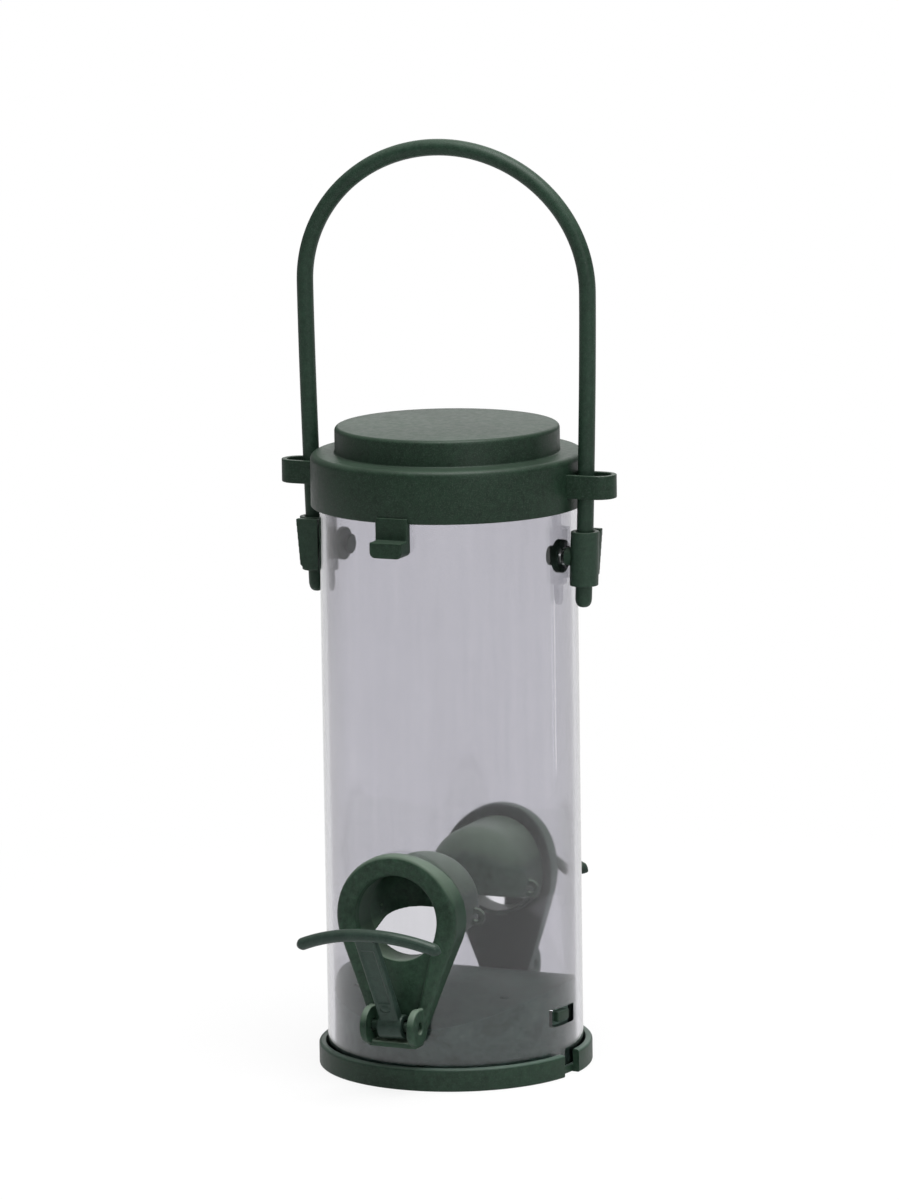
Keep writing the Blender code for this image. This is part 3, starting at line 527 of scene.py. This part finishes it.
# The port collars: each a teardrop moulding, flat in front and hollowed behind to sit on the
# tube, with a rounded rim, a sunken tray that guides the seed, a sleeve through the tube's
# wall and two lugs with a sill between them for the perch.
collar_back = 32.8 * mm
collar_front = 36.4 * mm
collar_rear = 26.46 * mm
collar_radius = 16.3 * mm
collar_foot = (3.0 * mm, 14.0 * mm, 3.0 * mm)  # half its spread, its height and its round
collar_round = 1.3 * mm
tray_face = 34.6 * mm
tray_radius = 11.0 * mm
tray_foot = (2.7 * mm, 16.1 * mm, 1.6 * mm)
tray_round = 0.9 * mm
throat_radius = 10.8 * mm
sleeve_radius = 12.0 * mm
sleeve_end = 27.0 * mm
sleeve_front = (collar_back + tray_face) / 2
hinge_y = 38.1 * mm
hinge_height = 17.2 * mm
pin_bore = 1.5 * mm
lug_radius = 4.8 * mm
lug_inner_x = 5.5 * mm
lug_outer_x = 7.4 * mm
lug_round = 0.5 * mm
sill_low = Vector((-6.45 * mm, -39.3 * mm, 11.9 * mm))
sill_high = Vector((6.45 * mm, -34.0 * mm, 13.4 * mm))
sill_round = 0.2 * mm
plate_voxel = 0.2 * mm
collar_voxel = 0.22 * mm


def softened(shape, voxel, passes):
    """A moulding's soft edges: the shapes melt into one skin, which is then smoothed."""
    body = bpy.data.objects.new("body", mesh_of(shape, "body"))
    bpy.context.scene.collection.objects.link(body)
    step = body.modifiers.new("skin", "REMESH")
    step.mode = "VOXEL"
    step.voxel_size = voxel
    bpy.context.view_layer.update()
    result = bmesh.new()
    result.from_object(body, bpy.context.evaluated_depsgraph_get())
    bpy.data.objects.remove(body)
    for _ in range(passes):
        bmesh.ops.smooth_vert(
            result,
            verts=result.verts,
            factor=0.5,
            use_axis_x=True,
            use_axis_y=True,
            use_axis_z=True,
        )
    return result


def gathered(shapes):
    """Several shapes in one, before they are melted together."""
    whole = bmesh.new()
    for shape in shapes:
        whole.from_mesh(mesh_of(shape, "gathered"))
    return whole


def drawn_round(posts):
    """A plate drawn tightly round posts that stand side by side."""
    shape = bmesh.new()
    for post in posts:
        for vertex in post.verts:
            shape.verts.new(vertex.co)
        post.free()
    hull = bmesh.ops.convex_hull(shape, input=shape.verts, use_existing_faces=False)
    spare = {g for key in ("geom_interior", "geom_unused") for g in hull[key]}
    bmesh.ops.delete(shape, geom=[g for g in spare if isinstance(g, bmesh.types.BMVert)],
                     context="VERTS")
    bmesh.ops.dissolve_limit(shape, angle_limit=radians(0.5), verts=shape.verts,
                             edges=shape.edges)
    bmesh.ops.recalc_face_normals(shape, faces=shape.faces)
    return shape


def teardrop(radius, foot, back, front):
    """A plate drawn round a large circle at the port and two small ones at the foot."""
    spread, height, small = foot
    circles = ((0, port_height, radius), (-spread, height, small), (spread, height, small))
    return drawn_round([bar((x, back, z), (x, front, z), r, 96) for x, z, r in circles])


def front_corners(shape):
    """The sharp edges round a collar's flat face."""
    return [
        e for e in shape.edges
        if all(abs(v.co.y + collar_front) < 10 * weld for v in e.verts)
        and e.calc_face_angle(0) > radians(60)
    ]


def turned_copy(mesh, turn):
    """A copy of a mesh as a shape, turned to its own side of the feeder."""
    shape = bmesh.new()
    shape.from_mesh(mesh)
    shape.transform(turn)
    return shape


collar_plate = teardrop(collar_radius, collar_foot, -collar_rear, -collar_front)
bevel(collar_plate, front_corners(collar_plate), collar_round, 6)
tray = teardrop(tray_radius, tray_foot, -tray_face, -collar_front - overrun)
collar_plate = carved(collar_plate, [("DIFFERENCE", tray)])
bevel(collar_plate, front_corners(collar_plate), tray_round, 5)
throat = bar((0, overrun - sleeve_end, port_height), (0, -collar_front - overrun, port_height),
             throat_radius, 96)
tube_room = bar((0, 0, 0), (0, 0, port_height + collar_radius + overrun), collar_back, 192)
collar_plate = carved(collar_plate, [("DIFFERENCE", throat), ("DIFFERENCE", tube_room)])
collar_plate = softened(collar_plate, plate_voxel, 2)

sleeve = pipe(sleeve_radius, throat_radius, -sleeve_end, -sleeve_front, 96)
sleeve.transform(Matrix.Translation((0, 0, port_height)) @ Matrix.Rotation(-pi / 2, 4, "X"))
lugs = []
for near in (-1, 1):
    lug = pipe(lug_radius, pin_bore, lug_outer_x, lug_inner_x, 64)
    round_rings(lug, [(lug_radius, lug_outer_x)], lug_round, 4)
    lug.transform(Matrix.Translation((0, -hinge_y, hinge_height))
                  @ Matrix.Rotation(near * pi / 2, 4, "Y"))
    lugs.append(lug)
sill = block(sill_low, sill_high, sill_round)
collar_shape = softened(gathered([collar_plate, sleeve, sill, *lugs]), collar_voxel, 3)
collar_mesh = mesh_of(collar_shape, "collar")
# The back collar gets a lighter copy of the front one's green, and both have a strong painted
# top light: painted light.
for side, turn, shade in (
    ("front", no_turn, (0.017, 0.040, 0.0240)),
    ("back", half_turn, (0.042, 0.080, 0.060)),
):
    collar_green = green_plastic(
        f"{side}_collar_plastic", shade, roughness=0.43, specks=0.35, mottle=0.6,
        grain=0.08, painted_top_light=0.95, top_lit_colour=(0.17, 0.225, 0.175))
    collar = placed(f"{side}_collar", turned_copy(collar_mesh, turn), collar_green)
    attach(collar, "feeder")
    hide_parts(f"{side}_port_collar")


# The port hoods: each a moulded round cap pushed over the sleeve inside the tube, closed
# towards the middle and open below, so that the bird reaches the seed and the seed can't
# pour out. An eyelet stands on each side.
hood_bore = 12.3 * mm
hood_radius = 13.5 * mm
hood_wall = 1.2 * mm
hood_end = 7.7 * mm
hood_open_end = 30.6 * mm
hood_end_round = 9.0 * mm
mouth_height = 36.6 * mm  # of its edge at the open end, from where it leans up
mouth_lean = radians(12.08)
mouth_reach = 60 * mm
mouth_depth = 20 * mm
eyelet_x = 14.0 * mm
eyelet_height = 42.0 * mm
eyelet_front = 18.3 * mm
eyelet_back = 16.9 * mm
eyelet_radius = 2.2 * mm
eyelet_bore = 0.95 * mm
hood_voxel = 0.2 * mm

hood_shape = spun(
    [
        (hood_radius, hood_open_end + overrun),
        (hood_radius, hood_end),
        (0, hood_end),
    ],
    128,
)
round_rings(hood_shape, [(hood_radius, hood_end)], hood_end_round, 20)
void_end = hood_end + hood_wall
hood_void = spun(
    [
        (0, hood_open_end + 2 * overrun),
        (hood_bore, hood_open_end + 2 * overrun),
        (hood_bore, void_end),
        (0, void_end),
    ],
    128,
)
round_rings(hood_void, [(hood_bore, void_end)], hood_end_round - hood_wall, 18)
rim_edges = [e for e in hood_shape.edges if e.is_boundary]
bmesh.ops.contextual_create(hood_shape, geom=rim_edges)
bmesh.ops.recalc_face_normals(hood_shape, faces=hood_shape.faces)
mouth = block((-hood_radius - overrun, -mouth_reach, -mouth_depth),
              (hood_radius + overrun, mouth_reach, 0))
mouth.transform(Matrix.Translation((0, -hood_open_end, mouth_height))
                @ Matrix.Rotation(mouth_lean, 4, "X"))
lie = Matrix.Translation((0, 0, port_height)) @ Matrix.Rotation(pi / 2, 4, "X")
hood_shape.transform(lie)
hood_void.transform(lie)
inside_tube = bar((0, 0, 0), (0, 0, tube_top), hood_open_end, 192)
hood_shape = carved(hood_shape, [
    ("DIFFERENCE", hood_void),
    ("DIFFERENCE", mouth),
    ("INTERSECT", inside_tube),
])
eyelets = []
for near in (-1, 1):
    eyelet = pipe(eyelet_radius, eyelet_bore, eyelet_front, eyelet_back, 48)
    eyelet.transform(Matrix.Translation((near * eyelet_x, 0, eyelet_height))
                     @ Matrix.Rotation(pi / 2, 4, "X"))
    eyelets.append(eyelet)
hood_mesh = mesh_of(softened(gathered([hood_shape, *eyelets]), hood_voxel, 3), "hood")
# The back hood gets a lighter copy of the front one's green, and both have a strong, pale
# painted top light: painted light.
for side, turn, shade in (
    ("front", no_turn, (0.029, 0.064, 0.040)),
    ("back", half_turn, (0.046, 0.092, 0.060)),
):
    hood_green = green_plastic(
        f"{side}_hood_plastic", shade, roughness=0.40, specks=0.3, mottle=0.7,
        grain=0.04, painted_top_light=1.0, top_lit_colour=(0.40, 0.55, 0.39))
    hood = placed(f"{side}_hood", turned_copy(hood_mesh, turn), hood_green)
    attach(hood, "feeder")
    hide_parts(f"{side}_port_hood")


# The perches: each a moulded T with a slightly bowed bar across a channelled stem, which
# turns on a pin in the collar's lugs. The front one leans out, a little askew on its pin,
# and the back one is folded up.
perch_length = 29.4 * mm
stem_foot = 0.5 * mm
stem_half_width = 2.7 * mm
stem_half_thickness = 1.2 * mm
stem_round = 0.3 * mm
channel_low = Vector((-1.8 * mm, -3.0 * mm, 8.2 * mm))
channel_high = Vector((1.8 * mm, -0.85 * mm, 25.2 * mm))
knuckle_radius = 3.0 * mm
knuckle_half = 3.3 * mm
bore_half = 8 * mm
bump_radius = 1.1 * mm
bump_height = 6.6 * mm
bump_scale = (1.3, 0.5, 1.0)
bar_half = 19.8 * mm
bar_radius = 1.6 * mm
bar_sag = 3.8 * mm
bar_reach = bar_half - bar_radius
bar_bow = (bar_reach**2 + bar_sag**2) / (2 * bar_sag)
bar_tip_shares = (0.12, 0.52, 0.8, 0.95, 1.0)
bar_tip_places = (1.0, 0.975, 0.95, 0.93, 0.915)
perch_voxel = 0.16 * mm
pin_half = 6.6 * mm
pin_radius = 1.2 * mm
pin_round = 0.25 * mm


def swept(points, radius, tips):
    """A round bar along a path, its ends drawn in by the tips' shares of the radius."""
    line = bpy.data.curves.new("path", "CURVE")
    line.dimensions = "3D"
    line.bevel_depth = radius
    line.bevel_resolution = 6
    line.use_fill_caps = True
    spline = line.splines.new("POLY")
    spline.points.add(len(points) - 1)
    for point, place in zip(spline.points, points):
        point.co = (*place, 1)
    for i, share in enumerate(tips):
        spline.points[i].radius = share
        spline.points[-1 - i].radius = share
    path = bpy.data.objects.new("path", line)
    bpy.context.scene.collection.objects.link(path)
    bpy.context.view_layer.update()
    shape = bmesh.new()
    shape.from_mesh(path.evaluated_get(bpy.context.evaluated_depsgraph_get()).to_mesh())
    bpy.data.objects.remove(path)
    bmesh.ops.remove_doubles(shape, verts=shape.verts, dist=weld)
    bmesh.ops.recalc_face_normals(shape, faces=shape.faces)
    return shape


stem = block((-stem_half_width, -stem_half_thickness, stem_foot),
             (stem_half_width, stem_half_thickness, perch_length), stem_round)
stem = carved(stem, [
    ("DIFFERENCE", block(channel_low, channel_high, stem_round)),
    ("DIFFERENCE", bar((-bore_half, 0, 0), (bore_half, 0, 0), pin_bore, 48)),
])
knuckle = pipe(knuckle_radius, pin_bore, knuckle_half, -knuckle_half, 64)
knuckle.transform(Matrix.Rotation(pi / 2, 4, "Y"))
bar_places = list(bar_tip_places) + [0.9 - 1.8 * i / 24 for i in range(25)]
bar_places += [-share for share in reversed(bar_tip_places)]
bar_path = [
    (x, 0, perch_length - bar_bow + sqrt(bar_bow**2 - x**2))
    for x in (share * bar_half for share in bar_places)
]
perch_bar = swept(bar_path, bar_radius, bar_tip_shares)
bump = bmesh.new()
bmesh.ops.create_uvsphere(bump, u_segments=24, v_segments=16, radius=bump_radius)
bmesh.ops.scale(bump, vec=bump_scale, verts=bump.verts)
bmesh.ops.translate(bump, vec=(0, -stem_half_thickness, bump_height), verts=bump.verts)
perch_shape = softened(gathered([stem, knuckle, perch_bar, bump]), perch_voxel, 3)
perch_mesh = mesh_of(perch_shape, "perch")
for side, turn, lean, askew in (
    ("front", no_turn, radians(27.7), radians(-2.6)),
    ("back", half_turn, radians(6.4), 0),
):
    perch_green = green_plastic(
        f"{side}_perch_plastic", (0.018, 0.034, 0.0265), roughness=0.36, specks=0.3,
        mottle=0.35, grain=0.1, painted_top_light=0.3)
    hinge = turn @ Matrix.Translation((0, -hinge_y, hinge_height))
    hung = hinge @ Matrix.Rotation(lean, 4, "X") @ Matrix.Rotation(askew, 4, "Y")
    perch = placed(f"{side}_t_perch", turned_copy(perch_mesh, hung), perch_green)
    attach(perch, f"{side}_perch")
    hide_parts(f"{side}_perch")

    pin_green = green_plastic(
        f"{side}_pin_plastic", (0.012, 0.026, 0.017), roughness=0.45, specks=0.3,
        mottle=0.2, grain=0.1)
    pin_y = hinge.translation.y
    pin_shape = bar((-pin_half, pin_y, hinge_height), (pin_half, pin_y, hinge_height),
                    pin_radius, 48, pin_round)
    pin = placed(f"{side}_pin", pin_shape, pin_green, radians(40))
    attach(pin, "feeder")
    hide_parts(f"{side}_perch_pin")


# The handle: one moulded bar of round section, two legs that spread a little as they rise
# and a half-elliptical arch. It runs through the lid's loops and ends in the clips.
handle_radius = 2.1 * mm
tip_height = 119.1 * mm
tip_x = 36.6 * mm
springing = 198.4 * mm
half_span = 38.6 * mm
arch_rise = 34.9 * mm
handle_tip_shares = (0.15, 0.5, 0.75, 0.92, 1.0)
handle_tip_rises = (0.0, 0.08, 0.25, 0.55, 1.0)


def leg_x(height):
    """How far out the leg's middle is at a height."""
    left = 1 - (height - tip_height) / (springing - tip_height)
    return half_span - (half_span - tip_x) * max(left, 0) ** 1.5


leg_path = [tip_height + rise * handle_radius for rise in handle_tip_rises]
leg_start = leg_path[-1]
leg_path += [leg_start + (springing - leg_start) * (i + 1) / 24 for i in range(24)]
leg = [(leg_x(z), 0, z) for z in leg_path]
arch = [
    (half_span * cos(pi * i / 96), 0, springing + arch_rise * sin(pi * i / 96))
    for i in range(1, 96)
]
far_leg = [(-x, y, z) for x, y, z in reversed(leg)]
handle_shape = swept(leg + arch + far_leg, handle_radius, handle_tip_shares)
handle_green = green_plastic(
    "handle_plastic", (0.014, 0.033, 0.0205), roughness=0.44, specks=0.35, mottle=0.4,
    grain=0.12, painted_top_light=0.3)
handle = placed("bail_handle", handle_shape, handle_green)
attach(handle, "feeder")
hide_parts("handle")


# The handle's clips: each one moulding, with a barrel that grips the leg, a fin to press
# beside it, and a stud whose head snaps through the tube's wall.
clip_low = 124.7 * mm
clip_top = 138.4 * mm
barrel_radius = 3.6 * mm
barrel_bore = 2.4 * mm
fin_root = 33.55 * mm
fin_reach = 39.6 * mm
fin_near, fin_far = 4.5 * mm, 6.0 * mm
fin_low = 125.5 * mm
fin_corner = 1.2 * mm
fin_taper = 1.1 * mm
web_low = Vector((fin_root, 2.1 * mm, 125.8 * mm))
web_high = Vector((35.05 * mm, 5.3 * mm, 138.1 * mm))
stud_steps = (  # each step's radius, and where it starts and ends
    (2.3 * mm, 34.0 * mm, 30.6 * mm),
    (4.2 * mm, 30.6 * mm, 29.0 * mm),
    (1.5 * mm, 29.0 * mm, 28.0 * mm),
    (2.5 * mm, 28.0 * mm, 27.1 * mm),
)
clip_voxel = 0.15 * mm

barrel = pipe(barrel_radius, barrel_bore, clip_top, clip_low, 64)
for vertex in barrel.verts:
    vertex.co.x += leg_x(vertex.co.z)
fin = block((fin_root, fin_near, fin_low), (fin_reach, fin_far, clip_top))
corner_edges = [
    e for e in fin.edges
    if all(v.co.x > fin_reach - weld and v.co.z < fin_low + weld for v in e.verts)
]
bevel(fin, corner_edges, fin_corner, 1)
for vertex in fin.verts:
    if vertex.co.x > (fin_root + fin_reach) / 2:
        vertex.co.x -= fin_taper * (clip_top - vertex.co.z) / (clip_top - fin_low)
web = block(web_low, web_high)
stud_outline = [(radius, x) for radius, start, end in stud_steps for x in (start, end)]
stud = spun([(0, stud_outline[0][1]), *stud_outline, (0, stud_outline[-1][1])], 64)
stud.transform(Matrix.Translation((0, 0, stud_height)) @ Matrix.Rotation(pi / 2, 4, "Y"))
clip_mesh = mesh_of(softened(gathered([barrel, fin, web, stud]), clip_voxel, 3), "clip")
for side, turn in (("right", no_turn), ("left", half_turn)):
    clip_green = green_plastic(
        f"{side}_clip_plastic", (0.016, 0.035, 0.0225), roughness=0.44, specks=0.35,
        mottle=0.4, grain=0.12, painted_top_light=0.3)
    clip = placed(f"{side}_clip", turned_copy(clip_mesh, turn), clip_green)
    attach(clip, "feeder")
    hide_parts(f"{side}_handle_clip")


# The lid: a moulded cap with a raised crown and a skirt round the tube, in the same green.
# A loop on each side runs on the handle's leg, and a thumb tab with a lip hangs in front.
skirt_bore = 32.9 * mm
skirt_radius = 34.5 * mm
skirt_foot = 143.6 * mm
skirt_round = 0.3 * mm
rim_top = 156.9 * mm
rim_round = 1.6 * mm
crown_foot_round = 0.4 * mm
crown_radius = 28.3 * mm
crown_round = 1.1 * mm
lid_top = 163.6 * mm
lid_wall = 1.6 * mm
loop_low, loop_high = 147.1 * mm, 153.0 * mm
loop_root, loop_eye = 30.0 * mm, 41.1 * mm
loop_half_width = 4.5 * mm
loop_eye_half = 3.1 * mm
loop_back = 33.7 * mm
tab_half = 4.3 * mm
strap_low = Vector((-tab_half, -35.0 * mm, 136.5 * mm))
strap_high = Vector((tab_half, -skirt_bore, 145.0 * mm))
lip_low = Vector((-tab_half, -38.7 * mm, 135.5 * mm))
lip_high = Vector((tab_half, -skirt_bore, 139.4 * mm))
lip_round = 1.4 * mm
lid_voxel = 0.16 * mm

lid_shape = spun(
    [
        (0, lid_top),
        (crown_radius, lid_top),
        (crown_radius, rim_top),
        (skirt_radius, rim_top),
        (skirt_radius, skirt_foot),
        (skirt_bore, skirt_foot),
        (skirt_bore, rim_top - lid_wall),
        (crown_radius - lid_wall, rim_top - lid_wall),
        (crown_radius - lid_wall, lid_top - lid_wall),
        (0, lid_top - lid_wall),
    ],
    256,
)
round_rings(lid_shape, [(crown_radius, lid_top)], crown_round, 6)
round_rings(lid_shape, [(skirt_radius, rim_top)], rim_round, 8)
round_rings(lid_shape, [(crown_radius, rim_top)], crown_foot_round, 3)
skirt_corners = [(skirt_radius, skirt_foot), (skirt_bore, skirt_foot)]
round_rings(lid_shape, skirt_corners, skirt_round, 3)
lid_green = green_plastic(
    "lid_plastic", (0.0082, 0.0223, 0.0123), roughness=0.45, specks=0.4, mottle=0.5,
    grain=0.12, painted_top_light=0.2, top_lit_colour=(0.10, 0.14, 0.105))
lid = placed("lid_cap", lid_shape, lid_green, radians(30))
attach(lid, "lid")
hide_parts("lid")


def stadium(half_width, low, high):
    """An upright plate with round ends, from the lid's wall out round the handle's leg."""
    return drawn_round([
        bar((x, 0, low), (x, 0, high), half_width, 96) for x in (loop_root, loop_eye)
    ])


# The eye's cutter stands past the loop by the loop's height, above and below.
loop_height = loop_high - loop_low
loop_shape = carved(stadium(loop_half_width, loop_low, loop_high), [
    ("DIFFERENCE", stadium(loop_eye_half, loop_low - loop_height, loop_high + loop_height)),
    ("DIFFERENCE", bar((0, 0, loop_low - overrun), (0, 0, loop_high + overrun),
                       loop_back, 128)),
])
loop_mesh = mesh_of(softened(loop_shape, lid_voxel, 3), "loop")
for side, turn in (("right", no_turn), ("left", half_turn)):
    loop = placed(f"lid_loop_{side}", turned_copy(loop_mesh, turn), lid_green)
    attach(loop, "lid")
    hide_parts("lid")

lip = block(lip_low, lip_high)
lip_edges = [
    e for e in lip.edges
    if all(v.co.z < lip_low.z + weld for v in e.verts)
    and abs(e.verts[0].co.x - e.verts[1].co.x) < weld
]
bevel(lip, lip_edges, lip_round, 5)
tab_shape = softened(gathered([block(strap_low, strap_high), lip]), lid_voxel, 3)
tab = placed("lid_tab", tab_shape, lid_green)
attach(tab, "lid")
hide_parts("lid")


# The studio: a plain pale floor, white all round, soft lamps above, behind and at the
# right, and a narrow one that draws a streak down the tube. The floor shows as white and
# keeps the feeder's soft shadow. What mirrors it, or shows it through the tube, sees it
# fade out towards the left of the picture.
floor_half = 6.0
floor_drop = 0.05 * mm
shadow_near, shadow_far = 0.04, 0.3
pale_floor = bpy.data.materials.new("pale_floor")
pale_floor.use_nodes = True
floor_tree = pale_floor.node_tree
floor_shader = floor_tree.nodes["Principled BSDF"]
floor_shader.inputs["Base Color"].default_value = (0.86, 0.86, 0.86, 1)
floor_shader.inputs["Roughness"].default_value = 0.9
floor_shader.inputs["Specular IOR Level"].default_value = 0.1
floor_ray = floor_tree.nodes.new("ShaderNodeLightPath").outputs
floor_place = floor_tree.nodes.new("ShaderNodeTexCoord").outputs["Object"]
leftward = wired(floor_tree, "ShaderNodeVectorMath", "Value",
                 {0: floor_place, 1: (-0.9135, -0.4067, 0)}, operation="DOT_PRODUCT")
mirrored = maths(floor_tree, "MAXIMUM", floor_ray["Is Glossy Ray"],
                 floor_ray["Is Transmission Ray"])
mirrored = maths(floor_tree, "MULTIPLY", mirrored,
                 ranged(floor_tree, leftward, 0.12, 0.5, 1.0, 0.0))
seen = maths(floor_tree, "MAXIMUM", floor_ray["Is Camera Ray"], mirrored)
whiteness = ranged(floor_tree, distance(floor_tree, floor_place), shadow_near, shadow_far,
                   0.86, 1.0)
white = wired(floor_tree, "ShaderNodeEmission", "Emission", {"Strength": 1.0})
floor_surface = wired(floor_tree, "ShaderNodeMixShader", "Shader", {
    0: maths(floor_tree, "MULTIPLY", seen, whiteness),
    1: floor_shader.outputs["BSDF"],
    2: white,
})
floor_tree.links.new(floor_surface, floor_tree.nodes["Material Output"].inputs["Surface"])
floor_shape = bmesh.new()
bmesh.ops.create_grid(floor_shape, x_segments=1, y_segments=1, size=floor_half)
floor = placed("floor", floor_shape, pale_floor)
floor.location.z = -floor_drop

# The white surroundings light the feeder less than they show.
world = bpy.data.worlds.new("studio")
bpy.context.scene.world = world
world.use_nodes = True
world_tree = world.node_tree
background = world_tree.nodes["Background"]
background.inputs["Color"].default_value = (1, 1, 1, 1)
world_ray = world_tree.nodes.new("ShaderNodeLightPath").outputs
straight = maths(world_tree, "MAXIMUM", world_ray["Is Camera Ray"],
                 world_ray["Is Transmission Ray"])
world_level = maths(world_tree, "MULTIPLY", ranged(world_tree, straight, 0.0, 1.0, 0.42, 1.0),
                    ranged(world_tree, world_ray["Is Glossy Ray"], 0.0, 1.0, 1.0, 0.65))
world_tree.links.new(world_level, background.inputs["Strength"])

lamp_aim = Vector((0, 0, 0.11))
for name, place, width, height, power in (
    ("lamp_above", (0.15, -0.1, 1.0), 0.6, 0.6, 11.0),
    ("lamp_behind", (-0.5, 1.9, 0.95), 1.3, 1.3, 6.3),
    ("lamp_right", (0.95, -0.75, 0.5), 0.5, 0.5, 3.4),
    ("lamp_strip", (0.316, 0.246, 0.13), 0.010, 0.26, 0.02),
):
    lamp_data = bpy.data.lights.new(name, "AREA")
    lamp_data.shape = "RECTANGLE"
    lamp_data.size = width
    lamp_data.size_y = height
    lamp_data.energy = power
    lamp = bpy.data.objects.new(name, lamp_data)
    lamp.location = place
    lamp.rotation_mode = "QUATERNION"
    lamp.rotation_quaternion = (lamp_aim - Vector(place)).to_track_quat("-Z", "Y")
    bpy.context.scene.collection.objects.link(lamp)

bpy.context.scene.view_settings.view_transform = "Standard"

bpy.context.view_layer.update()
